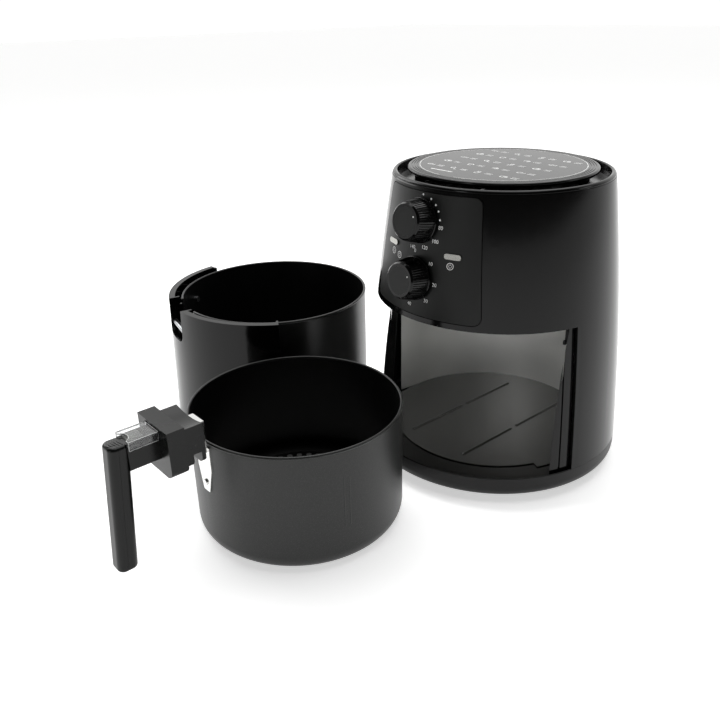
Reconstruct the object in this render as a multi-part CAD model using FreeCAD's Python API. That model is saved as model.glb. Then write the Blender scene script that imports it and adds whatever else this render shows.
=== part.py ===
import FreeCAD, Part
import math
import os
from FreeCAD import Placement, Rotation, Vector

# Air fryer with a lift-out pan and basket. Millimetres, +Z up, the control panel faces -Y.
# Azimuths are degrees about a vertical axis, 0 towards -Y and positive towards +X.

# ---- Driving sizes: basket and pan ----
BASKET_RADIUS = 101.5
BASKET_HEIGHT = 122.0
BASKET_WALL = 1.5
BASKET_CORNER = 16.0
PAN_WALL = 1.5
PAN_HEIGHT = 152.0
PAN_CORNER = 14.0
BASKET_TO_PAN = 7.0          # air gap between the basket and the pan wall
BASKET_SEAT = 4.5            # height of the pads that hold the basket off the pan floor
RIM_BEAD = 1.5               # radius of the rolled rims
HOLE_RADIUS = 3.2            # perforations of the basket floor
HOLE_PITCH = 10.9
BASKET_DISH = 12.0           # how far the perforated floor is raised
DISH_RADIUS = 82.0
DISH_SLOPE = 3.0             # how far the side of the raised floor spreads at its foot

# ---- Driving sizes: housing ----
BODY_HEIGHT = 310.0
BODY_WALL = 3.0
PAN_TO_LINER = 4.0           # clearance between pan and cavity liner
LINER_WALL = 1.2
LOW_STAND = 23.5             # how far the body stands outside the liner, low, middle and top
MID_STAND = 12.5
TOP_STAND = -3.5
LOW_HEIGHT = 58.0
MID_HEIGHT = 187.0
FLOOR_HEIGHT = 24.0          # top of the cavity floor
OPENING_CLEAR = 4.5          # drawer opening above the pan rim
OPENING_HALF_ANGLE = 77.0
REAR_SEAM_ANGLE = 118.0
FOOT_HEIGHT = 5.0
FOOT_RADIUS = 8.0
BASE_EDGE = 12.0             # rounding of the base rim
COVER_TOP_GAP = 4.0          # top cover ring height
JAMB_SPREAD = 6.0            # how far the jambs lean apart at the foot
JAMB_RECESS = 4.0            # jambs behind the body surface
SILL_DEPTH = 3.0
RUNNER_X = 37.0
LEVER_THICK = 2.4
LEVER_Y = -28.0
POST_AZIMUTHS = (45, 135, 225, 315)

# ---- Driving sizes: controls ----
KNOB_RADIUS = 20.5
KNOB_FRONT_RADIUS = 17.5
KNOB_DEPTH = 21.0
KNOB_SKIRT = 0.8             # thin ring standing out at the foot of a knob
KNOB_SPACING = 55.0
UPPER_KNOB_DROP = 33.0       # upper knob axis below the top of the body
SHAFT_RADIUS = 3.0
FIT = 0.05                   # radial running fit of shafts and pins
PANEL_THICKNESS = 1.8
PANEL_GROOVE = 0.7
PANEL_TOP_HALF = 57.0
PANEL_BOTTOM_HALF = 70.0
PANEL_MARGIN = 6.0           # panel edge above the opening and below the top ring
LENS_AZIMUTH = 19.0
LENS_DROP = 61.0
LENS_LENGTH = 17.0
LENS_WIDTH = 5.2

# ---- Driving sizes: air unit ----
DOME_RADIUS = 78.0
DOME_HEIGHT = 36.0
SHEET = 1.0
ELEMENT_RADIUS = 62.0
ELEMENT_TUBE = 3.2
FAN_RADIUS = 40.0
COOLING_FAN_RADIUS = 50.0
MOTOR_WIDTH = 62.0
MOTOR_STACK = 18.0
FAN_SHAFT_RADIUS = 2.5
MOTOR_BORE = 13.0
MOTOR_SCREW_X = (-24.0, 24.0)

# ---- Driving sizes: basket handle ----
HANDLE_WIDTH = 20.0
GRIP_DEPTH = 18.0
GRIP_LENGTH = 118.0
GRIP_RAKE = 10.0             # how far the grip leans outward over its length
GRIP_END = 3.0               # rounding of both ends of the grip
ARM_REACH = 67.0             # from the basket wall to the grip
ARM_HEIGHT = 25.0
ARM_TOP = 148.5
BLOCK_GAP = 9.0              # from the basket wall to the inner block
BLOCK_DEPTH = 18.5
BLOCK_HALF_WIDTH = 22.0
BLOCK_BOTTOM = 112.0
BLOCK_TOP = 150.0
BLOCK_DIP = 3.0              # how far the saddle-shaped top sinks in the middle
FLANGE_DEPTH = 16.0
FLANGE_HALF_WIDTH = 25.5
FLANGE_BOTTOM = 109.0
FLANGE_TOP = 154.0
FLANGE_DIP = 0.5
BUTTON_TRAVEL = 3.0
GUARD_TRAVEL = 14.0
GUARD_LENGTH = 26.0
GUARD_SHEET = 1.5

# ---- Driving sizes: drawer front ----
COVER_HALF_ANGLE = 70.5
COVER_TOP_STAND = 14.5       # cover surface outside the pan wall, at its top and bottom
COVER_BOTTOM_STAND = 19.5
COVER_WALL = 2.5
COVER_RISE = 3.0             # cover top above the pan rim
NOTCH_HALF_WIDTH = 24.0
NOTCH_CLEAR = 2.0
PIN_RADIUS = 3.0
PIN_OUT = 8.0                # catch pin outside the pan wall
COVER_LOW = 2.0
COVER_LIP = 4.5              # flat lip turned inward along the top edge
COVER_LIP_SHEET = 2.5

# ---- Driving sizes: basket bracket and latch ----
BRACKET_LOW = 68.0
BRACKET_HALF = 11.0
BRACKET_SHEET = 1.2
BRACKET_SCREWS = (77.0, 104.0)
NECK_HALF_WIDTH = 9.2        # bright channel from the plate to the inner block
NECK_BOTTOM = 124.5
NECK_FOOT = 112.0             # cheeks run down to here beside the wall
NECK_TOP = 143.2
NECK_BITE = 12.0             # length of the channel inside the inner block
BUTTON_HALF = 7.0
LEVER_HALF = 2.0
LEVER_DEPTH = 3.0
LATCH_PIN_RADIUS = 1.5
LATCH_BITE = 1.1             # reach of the latch barb under the catch pin

# ---- Layout of the three groups on the table ----
BASKET_GAP = 11.7            # clear gaps between the groups
PAN_GAP = 19.0
SIDE_GAP = 10.2
BASKET_AZIMUTH = -7.54
PAN_TURN = -13.5             # azimuth that the drawer front faces

# ---- Dependent sizes ----
PAN_RADIUS = BASKET_RADIUS + BASKET_TO_PAN + PAN_WALL
CAVITY_RADIUS = PAN_RADIUS + PAN_TO_LINER
BODY_LOW = CAVITY_RADIUS + LOW_STAND
BODY_MID = CAVITY_RADIUS + MID_STAND
BODY_TOP = CAVITY_RADIUS + TOP_STAND
OPENING_TOP = FLOOR_HEIGHT + PAN_HEIGHT + OPENING_CLEAR
SHELL_TOP = BODY_HEIGHT - COVER_TOP_GAP
BASE_TOP = FLOOR_HEIGHT + 4.0
COVER_RADIUS = PAN_RADIUS + COVER_TOP_STAND
COVER_TOP = PAN_HEIGHT + COVER_RISE
COVER_WEB_TOP = PAN_HEIGHT - 2 * RIM_BEAD - 3
UPPER_KNOB_Z = BODY_HEIGHT - UPPER_KNOB_DROP
LOWER_KNOB_Z = UPPER_KNOB_Z - KNOB_SPACING
LENS_Z = BODY_HEIGHT - LENS_DROP
PANEL_BOTTOM = OPENING_TOP + PANEL_MARGIN
PANEL_TOP = SHELL_TOP - PANEL_MARGIN / 2
LID_RADIUS = BODY_TOP - 15.5
WELL_RADIUS = BODY_TOP - 4.5
WELL_FLOOR = BODY_HEIGHT - 10.0
LID_TOP = BODY_HEIGHT + 3.5
DOME_BOTTOM = OPENING_TOP + SHEET
DOME_TOP = DOME_BOTTOM + DOME_HEIGHT
SHIELD_TOP = DOME_TOP + 8.0
MOTOR_BOTTOM = SHIELD_TOP + 8.0
MOTOR_TOP = MOTOR_BOTTOM + MOTOR_STACK
ELEMENT_Z = DOME_BOTTOM + 8.0
LID_BOTTOM = LID_TOP - 4.5
SILL_TOP = FLOOR_HEIGHT - LINER_WALL
JAMB_TOP_HALF = CAVITY_RADIUS + 4.5
LEVER_X = CAVITY_RADIUS - 1.6
SWITCH_Z = OPENING_TOP + 3.0
PIVOT_Z = SWITCH_Z + 7.0
NOTCH_BOTTOM = BLOCK_BOTTOM + BASKET_SEAT + PAN_WALL - NOTCH_CLEAR
PIN_Y = PAN_RADIUS + PIN_OUT
PIN_Z = NOTCH_BOTTOM + 10.2
COVER_SCREWS = [(a, z) for a in (-46, 46) for z in (22.0, PAN_HEIGHT - 24.0)]
BRACKET_HIGH = BASKET_HEIGHT - RIM_BEAD * 2 - 3
BLOCK_INNER = BASKET_RADIUS + BLOCK_GAP
FLANGE_INNER = BLOCK_INNER + BLOCK_DEPTH
FLANGE_OUTER = FLANGE_INNER + FLANGE_DEPTH
GRIP_INNER = BASKET_RADIUS + ARM_REACH
GRIP_OUTER = GRIP_INNER + GRIP_DEPTH
GRIP_SEAM = GRIP_OUTER - 7.5
ARM_BOTTOM = ARM_TOP - ARM_HEIGHT
BUTTON_Y = -(GRIP_INNER - 6.0)
BUTTON_LOW = ARM_TOP - 8.0
HOOK_PIVOT = (-(PIN_Y - 3.0), ARM_TOP - 15.0)
SHANK_Y = -(PIN_Y - PIN_RADIUS - 2.4)
BASKET_PLACE = (BODY_LOW + BASKET_GAP + BASKET_RADIUS, BASKET_AZIMUTH)
PAN_DISTANCE = BODY_LOW + PAN_GAP + PAN_RADIUS + RIM_BEAD
GROUP_DISTANCE = COVER_RADIUS + BASKET_RADIUS + SIDE_GAP
BETWEEN = math.degrees(math.acos(
    (PAN_DISTANCE**2 + BASKET_PLACE[0]**2 - GROUP_DISTANCE**2)
    / (2 * PAN_DISTANCE * BASKET_PLACE[0])))
PAN_PLACE = (PAN_DISTANCE, BASKET_AZIMUTH - BETWEEN)

Z_AXIS = Vector(0, 0, 1)
ORIGIN = Vector(0, 0, 0)


# ---- Shape helpers ----
def polar(radius, azimuth, z=0.0):
    """A point at a radius and azimuth about the vertical axis."""
    a = math.radians(azimuth)
    return Vector(radius * math.sin(a), -radius * math.cos(a), z)


def line(p, q):
    return Part.LineSegment(Vector(p[0], 0, p[1]), Vector(q[0], 0, q[1])).toShape()


def arc(p, m, q):
    points = [Vector(x, 0, z) for x, z in (p, m, q)]
    return Part.Arc(*points).toShape()


def profile(edges):
    """A face in the XZ plane from edges given in order."""
    return Part.Face(Part.Wire(Part.__sortEdges__(edges)))


def polygon(points):
    closed = points + points[:1]
    return profile([line(p, q) for p, q in zip(closed, closed[1:])])


def turned(face, start=-180.0, end=180.0):
    """The solid swept by a profile between two azimuths."""
    face = face.copy()
    face.rotate(ORIGIN, Z_AXIS, start - 90)
    return face.revolve(ORIGIN, Z_AXIS, end - start)


def ring(inner, outer, low, high, start=-180.0, end=180.0):
    return turned(polygon([(inner, low), (outer, low), (outer, high), (inner, high)]), start, end)


def rod(radius, start, direction, length):
    return Part.makeCylinder(radius, length, start, direction)


def box(x0, x1, y0, y1, z0, z1):
    return Part.makeBox(x1 - x0, y1 - y0, z1 - z0, Vector(x0, y0, z0))


def moved(shape, placement):
    shape = shape.copy()
    shape.Placement = placement.multiply(shape.Placement)
    return shape


def fused(shapes):
    whole = shapes[0]
    if len(shapes) > 1:
        whole = whole.fuse(shapes[1:])
    return whole.removeSplitter()


def rounded(shape, radius, chosen):
    edges = [e for e in shape.Edges if chosen(e)]
    return shape.makeFillet(radius, edges)


def along(edge, direction):
    """Whether a straight edge runs along a direction."""
    if edge.Curve.TypeId != "Part::GeomLine":
        return False
    return abs(abs(edge.Curve.Direction.dot(direction)) - 1) < 1e-6


def body_circle():
    """Centre and radius, in the XZ plane, of the arc that shapes the body side."""
    (x1, z1), (x2, z2), (x3, z3) = (
        (BODY_LOW, LOW_HEIGHT), (BODY_MID, MID_HEIGHT), (BODY_TOP, BODY_HEIGHT))
    d = 2 * (x1 * (z2 - z3) + x2 * (z3 - z1) + x3 * (z1 - z2))
    s1, s2, s3 = x1**2 + z1**2, x2**2 + z2**2, x3**2 + z3**2
    cx = (s1 * (z2 - z3) + s2 * (z3 - z1) + s3 * (z1 - z2)) / d
    cz = (s1 * (x3 - x2) + s2 * (x1 - x3) + s3 * (x2 - x1)) / d
    return cx, cz, math.hypot(x1 - cx, z1 - cz)


SIDE_X, SIDE_Z, SIDE_RADIUS = body_circle()


def body_radius(z, inset=0.0):
    """Outer radius of the body at a height, less an inset square to the surface."""
    r = SIDE_RADIUS - inset
    return SIDE_X + math.sqrt(r**2 - (z - SIDE_Z)**2)


def side_edge(low, high, inset=0.0):
    mid = (low + high) / 2
    points = [(body_radius(z, inset), z) for z in (low, mid, high)]
    return arc(*points)


def side_band(low, high, outer, inner):
    """The profile between two insets of the body side."""
    return profile([
        side_edge(low, high, outer), side_edge(low, high, inner),
        line((body_radius(low, outer), low), (body_radius(low, inner), low)),
        line((body_radius(high, outer), high), (body_radius(high, inner), high))])


def panel_frame(z, azimuth=0.0):
    """A frame on the body surface: Z points straight out, Y up the surface."""
    slope = math.degrees(math.atan2(z - SIDE_Z, body_radius(z) - SIDE_X))
    turn = Rotation(Z_AXIS, azimuth).multiply(Rotation(Vector(1, 0, 0), 90 - slope))
    return Placement(polar(body_radius(z), azimuth, z), turn)


# ---- Housing shells ----
def front_panel_prism(grow):
    """The outline of the control panel, run through the front of the housing."""
    corners = [(-PANEL_BOTTOM_HALF - grow, PANEL_BOTTOM - grow),
               (PANEL_BOTTOM_HALF + grow, PANEL_BOTTOM - grow),
               (PANEL_TOP_HALF + grow, PANEL_TOP + grow),
               (-PANEL_TOP_HALF - grow, PANEL_TOP + grow)]
    face = polygon(corners)
    prism = face.extrude(Vector(0, -2 * BODY_LOW, 0))
    return rounded(prism, 7.0 + grow, lambda e: along(e, Vector(0, 1, 0)))


def control_holes(clearance):
    """Holes for both control shafts and both lenses."""
    holes = []
    for z in (UPPER_KNOB_Z, LOWER_KNOB_Z):
        hole = rod(SHAFT_RADIUS + clearance, Vector(0, 0, -12), Z_AXIS, 24)
        holes.append(moved(hole, panel_frame(z)))
    for azimuth in (-LENS_AZIMUTH, LENS_AZIMUTH):
        holes.append(lens_prism(azimuth, clearance / 5, -12, 24))
    return holes


def lens_prism(azimuth, grow, start, depth):
    """A round-ended bar through the panel where an indicator lens sits."""
    half, radius = (LENS_LENGTH - LENS_WIDTH) / 2, LENS_WIDTH / 2 + grow
    middle = Part.makeBox(2 * half, 2 * radius, depth, Vector(-half, -radius, start))
    ends = [rod(radius, Vector(x, 0, start), Z_AXIS, depth) for x in (-half, half)]
    return moved(fused([middle] + ends), panel_frame(LENS_Z, azimuth))


def make_front_shell():
    seam = REAR_SEAM_ANGLE - 0.1
    shell = turned(side_band(BASE_TOP, SHELL_TOP, 0, BODY_WALL), -seam, seam)
    lintel_outer = body_radius(OPENING_TOP + BODY_WALL, BODY_WALL / 2)
    lintel = ring(CAVITY_RADIUS + LINER_WALL + 0.3, lintel_outer, OPENING_TOP,
                  OPENING_TOP + 2.5, -seam, seam)
    opening = ring(CAVITY_RADIUS - 20, BODY_LOW + 20, 0, OPENING_TOP,
                   -OPENING_HALF_ANGLE, OPENING_HALF_ANGLE)
    recess = turned(side_band(PANEL_BOTTOM - 4, SHELL_TOP - 0.5, -2, PANEL_THICKNESS + 0.1),
                    -40, 40).common(front_panel_prism(PANEL_GROOVE))
    shell = shell.fuse(lintel).cut([opening, recess, lever_slot()] + control_holes(1.0))
    return shell.removeSplitter()


def lever_slot():
    """Slot over the opening that the drawer switch lever hangs through."""
    return box(LEVER_X - 1.0, LEVER_X + LEVER_THICK + 1.0, LEVER_Y - 5, LEVER_Y + 9,
               OPENING_TOP - 1, OPENING_TOP + 4)


def vent_prism(grow):
    """The outline of the rear air outlet."""
    z0, z1 = OPENING_TOP + 45 - grow, OPENING_TOP + 95 + grow
    half = 38 + grow
    return box(-half, half, BODY_TOP - 30, BODY_LOW + 20, z0, z1)


def inlet_place():
    """Where the mains lead enters, low on the back."""
    z = BASE_TOP + 22
    return Vector(0, body_radius(z), z)


def make_rear_cover():
    seam = REAR_SEAM_ANGLE + 0.1
    cover = turned(side_band(BASE_TOP, SHELL_TOP, 0, BODY_WALL), seam, 360 - seam)
    vent = turned(side_band(OPENING_TOP + 30, SHELL_TOP - 5, -2, BODY_WALL + 2), 150, 210)
    lead = rod(9.0, inlet_place() - Vector(0, 20, 0), Vector(0, 1, 0), 40)
    return cover.cut([vent.common(vent_prism(0)), lead])


def make_rear_vent():
    band = turned(side_band(OPENING_TOP + 30, SHELL_TOP - 5, 0.6, BODY_WALL), 150, 210)
    grille = band.common(vent_prism(-0.4))
    slots = []
    for row in range(8):
        z = OPENING_TOP + 51 + 5.5 * row
        slots.append(box(-32, -2, BODY_TOP - 30, BODY_LOW + 20, z, z + 3))
        slots.append(box(2, 32, BODY_TOP - 30, BODY_LOW + 20, z, z + 3))
    return grille.cut(slots)


def make_cord_inlet():
    place, back = inlet_place(), Vector(0, 1, 0)
    bush = rod(8.9, place - Vector(0, 8, 0), back, 8 + 2.5)
    flange = rod(12.0, place + Vector(0, 0.8, 0), back, 2.5)
    nut = rod(12.0, place - Vector(0, 8, 0), back, 4.0)
    bore = rod(3.6, place - Vector(0, 12, 0), back, 30)
    return fused([bush, flange, nut]).cut(bore)


def make_control_panel():
    band = turned(side_band(PANEL_BOTTOM - 4, SHELL_TOP - 0.5, 0, PANEL_THICKNESS), -40, 40)
    return band.common(front_panel_prism(0)).cut(control_holes(0.8))


def jamb_cutter(side):
    """The leaning block that leaves one upright strip beside the opening."""
    low = -2 * JAMB_TOP_HALF if side > 0 else 0
    cutter = box(low, low + 2 * JAMB_TOP_HALF, -2 * BODY_LOW, 0, -40, 2 * OPENING_TOP)
    cutter.translate(Vector(side * JAMB_TOP_HALF, 0, 0))
    lean = math.degrees(math.atan2(JAMB_SPREAD, OPENING_TOP - FLOOR_HEIGHT))
    pivot = Vector(side * JAMB_TOP_HALF, 0, OPENING_TOP)
    cutter.rotate(pivot, Vector(0, 1, 0), -side * lean)
    return cutter


def make_side_jambs():
    """The two upright strips that frame the drawer opening, each with one flute."""
    strips = []
    for side in (-1, 1):
        start, end = sorted((side * 50, side * (OPENING_HALF_ANGLE - 0.3)))
        strip = turned(side_band(BASE_TOP + 0.8, OPENING_TOP - 0.3, JAMB_RECESS, 30), start, end)
        start, end = sorted((side * (OPENING_HALF_ANGLE - 5), side * (OPENING_HALF_ANGLE - 6)))
        flute = side_band(BASE_TOP, OPENING_TOP, JAMB_RECESS - 2, JAMB_RECESS + 1.2)
        strips.append(strip.cut([jamb_cutter(side), turned(flute, start, end)]))
    return Part.Compound(strips)


def make_base_tray():
    r_top = body_radius(BASE_TOP)
    low = FOOT_HEIGHT
    r_low = r_top - BASE_EDGE
    turn = BASE_EDGE * (1 - math.sqrt(0.5))
    outer = arc((r_low, low), (r_top - turn, low + turn), (r_top, low + BASE_EDGE))
    wall = 2.5
    edges = [
        line((0, low), (r_low, low)), outer,
        line((r_top, low + BASE_EDGE), (r_top, BASE_TOP - 0.2)),
        line((r_top, BASE_TOP - 0.2), (r_top - wall, BASE_TOP - 0.2)),
        line((r_top - wall, BASE_TOP - 0.2), (r_top - wall, low + BASE_EDGE)),
        line((r_top - wall, low + BASE_EDGE), (r_low - 2, low + wall)),
        line((r_low - 2, low + wall), (0, low + wall)),
        line((0, low + wall), (0, low))]
    tray = turned(profile(edges))
    posts = [rod(5.0, polar(CAVITY_RADIUS - 22, a, low + wall - 0.5), Z_AXIS,
                 SILL_TOP - SILL_DEPTH - low - wall + 0.5) for a in POST_AZIMUTHS]
    return fused([tray] + posts).cut(screw_bodies(FIT))


def make_floor_plate():
    """Sealed plastic floor under the cavity, with the glossy ledge and lip at the front."""
    outer = body_radius(BASE_TOP, BODY_WALL + 0.2)
    front = OPENING_HALF_ANGLE - 0.3
    plate = ring(0, outer, SILL_TOP - SILL_DEPTH, SILL_TOP)
    lip = ring(outer - 2, body_radius(BASE_TOP, 0.4), BASE_TOP, BASE_TOP + 0.6, -front, front)
    riser = ring(outer - 2, outer, SILL_TOP - 1, BASE_TOP + 0.6, -front, front)
    return fused([plate, lip, riser])


def make_feet():
    feet = []
    for azimuth in POST_AZIMUTHS:
        place = polar(BODY_LOW - 32, azimuth)
        foot = Part.makeCone(FOOT_RADIUS - 1.2, FOOT_RADIUS, FOOT_HEIGHT, place, Z_AXIS)
        feet.append(foot)
    return Part.Compound(feet)


# ---- Cooking cavity ----
def liner_outline(grow):
    """Plan of the cavity liner: a half circle at the back, flaring to the jambs in front."""
    r = CAVITY_RADIUS + grow
    front = Vector(JAMB_TOP_HALF - 0.8 + grow - LINER_WALL, LEVER_Y - 1, 0)
    mirror = Vector(-front.x, front.y, 0)
    right, left = Vector(r, 0, 0), Vector(-r, 0, 0)
    half = Part.Arc(right, Vector(0, r, 0), left).toShape()
    wire = Part.Wire([Part.LineSegment(front, right).toShape(), half,
                      Part.LineSegment(left, mirror).toShape(),
                      Part.LineSegment(mirror, front).toShape()])
    return Part.Face(wire)


def make_liner():
    height = OPENING_TOP - FLOOR_HEIGHT - 0.2
    outer = liner_outline(LINER_WALL).extrude(Vector(0, 0, height))
    inner = liner_outline(0).extrude(Vector(0, 0, height))
    front = box(-BODY_LOW, BODY_LOW, -BODY_LOW, LEVER_Y, -1, height + 1)
    wall = outer.cut([inner, front])
    wall.translate(Vector(0, 0, FLOOR_HEIGHT))
    return wall


def make_cavity_floor():
    """Steel floor with two pressed runners, each in two lengths."""
    back = ring(0, CAVITY_RADIUS + LINER_WALL, SILL_TOP, FLOOR_HEIGHT, 66, 294)
    front = ring(0, CAVITY_RADIUS - 6.5, SILL_TOP, FLOOR_HEIGHT, -66, 66)
    runners = []
    for x in (-RUNNER_X, RUNNER_X):
        for start, end in ((-0.74, -0.05), (0.05, 0.71)):
            y0, y1 = start * CAVITY_RADIUS, end * CAVITY_RADIUS
            tube = rod(2.2, Vector(x, y0, FLOOR_HEIGHT - 0.7), Vector(0, 1, 0), y1 - y0)
            caps = [Part.makeSphere(2.2, Vector(x, y, FLOOR_HEIGHT - 0.7)) for y in (y0, y1)]
            runners += [tube] + caps
    below = box(-BODY_LOW, BODY_LOW, -BODY_LOW, BODY_LOW, 0, SILL_TOP)
    return fused([back, front] + runners).cut(below)


def make_cavity_ceiling():
    outer = CAVITY_RADIUS + LINER_WALL
    return ring(DOME_RADIUS - 3, outer, OPENING_TOP, OPENING_TOP + SHEET).cut(lever_slot())


# ---- Air unit above the cavity ----
def bowl(radius, low, high, hole):
    """An upturned sheet bowl with an outward flange and a hole in its top."""
    corner = 10.0
    turn = corner * (1 - math.sqrt(0.5))
    outer = [line((radius, low), (radius, high - corner)),
             arc((radius, high - corner), (radius - turn, high - turn), (radius - corner, high)),
             line((radius - corner, high), (hole, high)),
             line((hole, high), (hole, high - SHEET)),
             line((hole, high - SHEET), (radius - corner, high - SHEET)),
             arc((radius - corner, high - SHEET), (radius - turn - SHEET * 0.7, high - turn - SHEET * 0.7),
                 (radius - SHEET, high - corner)),
             line((radius - SHEET, high - corner), (radius - SHEET, low)),
             line((radius - SHEET, low), (radius, low))]
    return turned(profile(outer))


def element_legs(radius, top):
    return [rod(radius, Vector(x, ELEMENT_RADIUS, ELEMENT_Z), Z_AXIS, top - ELEMENT_Z)
            for x in (-9, 9)]


def make_heat_dome():
    dome = bowl(DOME_RADIUS, DOME_BOTTOM, DOME_TOP, FAN_SHAFT_RADIUS + 2)
    flange = ring(DOME_RADIUS - SHEET, DOME_RADIUS + 3.5, DOME_BOTTOM, DOME_BOTTOM + SHEET)
    return fused([dome, flange]).cut(element_legs(ELEMENT_TUBE + 0.4, DOME_TOP + 5))


def make_heat_shield():
    radius = DOME_RADIUS + 6
    shield = bowl(radius, DOME_BOTTOM, SHIELD_TOP, FAN_SHAFT_RADIUS + 2)
    return shield.cut(element_legs(ELEMENT_TUBE + 2, SHIELD_TOP + 5))


def make_heating_element():
    """Two turns of tubular heater joined by a bar, with two legs up through the dome."""
    outer = Part.makeTorus(ELEMENT_RADIUS, ELEMENT_TUBE, Vector(0, 0, ELEMENT_Z))
    inner = Part.makeTorus(ELEMENT_RADIUS - 13, ELEMENT_TUBE, Vector(0, 0, ELEMENT_Z))
    bridge = rod(ELEMENT_TUBE - 0.2, Vector(0, 13 - ELEMENT_RADIUS, ELEMENT_Z), Vector(0, -1, 0), 13)
    return fused([outer, inner, bridge] + element_legs(ELEMENT_TUBE, SHIELD_TOP + 4))


def make_element_clips():
    """Three clips that hang the heater from the dome flange."""
    clips = []
    for azimuth in (0, 120, 240):
        wall, top = DOME_RADIUS - SHEET - 0.2, ELEMENT_Z + ELEMENT_TUBE + SHEET
        strip = box(-4, 4, -wall, -(ELEMENT_RADIUS - 16), top - SHEET, top)
        foot = box(-4, 4, -wall, SHEET - wall, ELEMENT_Z - 5, top)
        clip = fused([strip, foot])
        clip.rotate(ORIGIN, Z_AXIS, azimuth)
        clips.append(clip)
    return Part.Compound(clips)


def impeller(radius, hub_radius, low, height, blades, disc):
    """A hub with flat radial blades standing on a thin disc."""
    parts = [ring(FAN_SHAFT_RADIUS, hub_radius, low, low + height),
             ring(hub_radius - 1, disc, low, low + SHEET)]
    for n in range(blades):
        blade = box(hub_radius - 1, radius, -0.5, 0.5, low, low + height)
        blade.rotate(ORIGIN, Z_AXIS, 360.0 * n / blades)
        parts.append(blade)
    return fused(parts)


def make_convection_fan():
    return impeller(FAN_RADIUS, 7, DOME_TOP - 17, 10, 12, FAN_RADIUS)


def make_cooling_fan():
    return impeller(COOLING_FAN_RADIUS, 8, MOTOR_TOP + 10, 11, 9, COOLING_FAN_RADIUS * 0.6)


def make_fan_shaft():
    low = DOME_TOP - 20
    return rod(FAN_SHAFT_RADIUS, Vector(0, 0, low), Z_AXIS, MOTOR_TOP + 24 - low)


def make_motor_rotor():
    return ring(FAN_SHAFT_RADIUS, MOTOR_BORE - 0.6, MOTOR_BOTTOM + 1, MOTOR_TOP - 1)


def make_motor_core():
    """Laminated stack of the shaded-pole motor, with its rotor bore and coil window."""
    half = MOTOR_WIDTH / 2
    stack = box(-half, half, -20, 34, MOTOR_BOTTOM, MOTOR_TOP)
    window = box(-half + 9, half - 9, 17, 26, MOTOR_BOTTOM - 1, MOTOR_TOP + 1)
    bore = rod(MOTOR_BORE, Vector(0, 0, MOTOR_BOTTOM - 1), Z_AXIS, MOTOR_STACK + 2)
    screws = motor_holes(2.2, MOTOR_BOTTOM - 1, MOTOR_TOP + 1)
    return stack.cut([window, bore] + screws)


def motor_holes(radius, low, high):
    return [rod(radius, Vector(x, -14, low), Z_AXIS, high - low) for x in MOTOR_SCREW_X]


def make_motor_coil():
    """Winding round the back limb of the core."""
    outer = box(-15, 15, 19, 42, MOTOR_BOTTOM - 6, MOTOR_TOP + 6)
    limb = box(-15.1, 15.1, 26, 34, MOTOR_BOTTOM, MOTOR_TOP)
    coil = rounded(outer, 4, lambda e: along(e, Vector(1, 0, 0)))
    return coil.cut([limb, box(-16, 16, 10, 19.01, 0, BODY_HEIGHT)])


def make_motor_bearings():
    """Two bridges across the core, each with a bearing boss round the shaft."""
    bridges = []
    for low, boss in ((MOTOR_TOP, MOTOR_TOP), (MOTOR_BOTTOM - 3, MOTOR_BOTTOM - 6)):
        strip = box(-30, 30, -18, -10, low, low + 3)
        arm = box(-6, 6, -18, 6, low, low + 3)
        hub = rod(7, Vector(0, 0, boss), Z_AXIS, 6)
        bridge = fused([strip, arm, hub])
        bore = rod(FAN_SHAFT_RADIUS + FIT, Vector(0, 0, boss - 2), Z_AXIS, 12)
        bridges.append(bridge.cut([bore] + motor_holes(2.2, low - 1, low + 4)))
    return Part.Compound(bridges)


def make_motor_screws():
    """Two long screws that clamp bridges and core to the shield spacers."""
    screws = []
    for x in MOTOR_SCREW_X:
        shank = rod(2.0, Vector(x, -14, SHIELD_TOP), Z_AXIS, MOTOR_TOP + 3 - SHIELD_TOP)
        head = rod(3.8, Vector(x, -14, MOTOR_TOP + 3), Z_AXIS, 2.6)
        screws.append(fused([shank, head]))
    return Part.Compound(screws)


def make_motor_spacers():
    spacers = []
    for x in MOTOR_SCREW_X:
        tube = rod(4.5, Vector(x, -14, SHIELD_TOP), Z_AXIS, MOTOR_BOTTOM - 3 - SHIELD_TOP)
        spacers.append(tube.cut(rod(2.1, Vector(x, -14, SHIELD_TOP - 1), Z_AXIS, 20)))
    return Part.Compound(spacers)


def make_thermal_fuse():
    """Ceramic cut-out clipped on top of the heat shield."""
    body = rod(3.0, Vector(-14, -48, SHIELD_TOP + 3.4), Vector(1, 0, 0), 28)
    clip = box(-3, 3, -52, -44, SHIELD_TOP, SHIELD_TOP + 1)
    return fused([body, clip, box(-3, 3, -49, -47, SHIELD_TOP, SHIELD_TOP + 3)])


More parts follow.
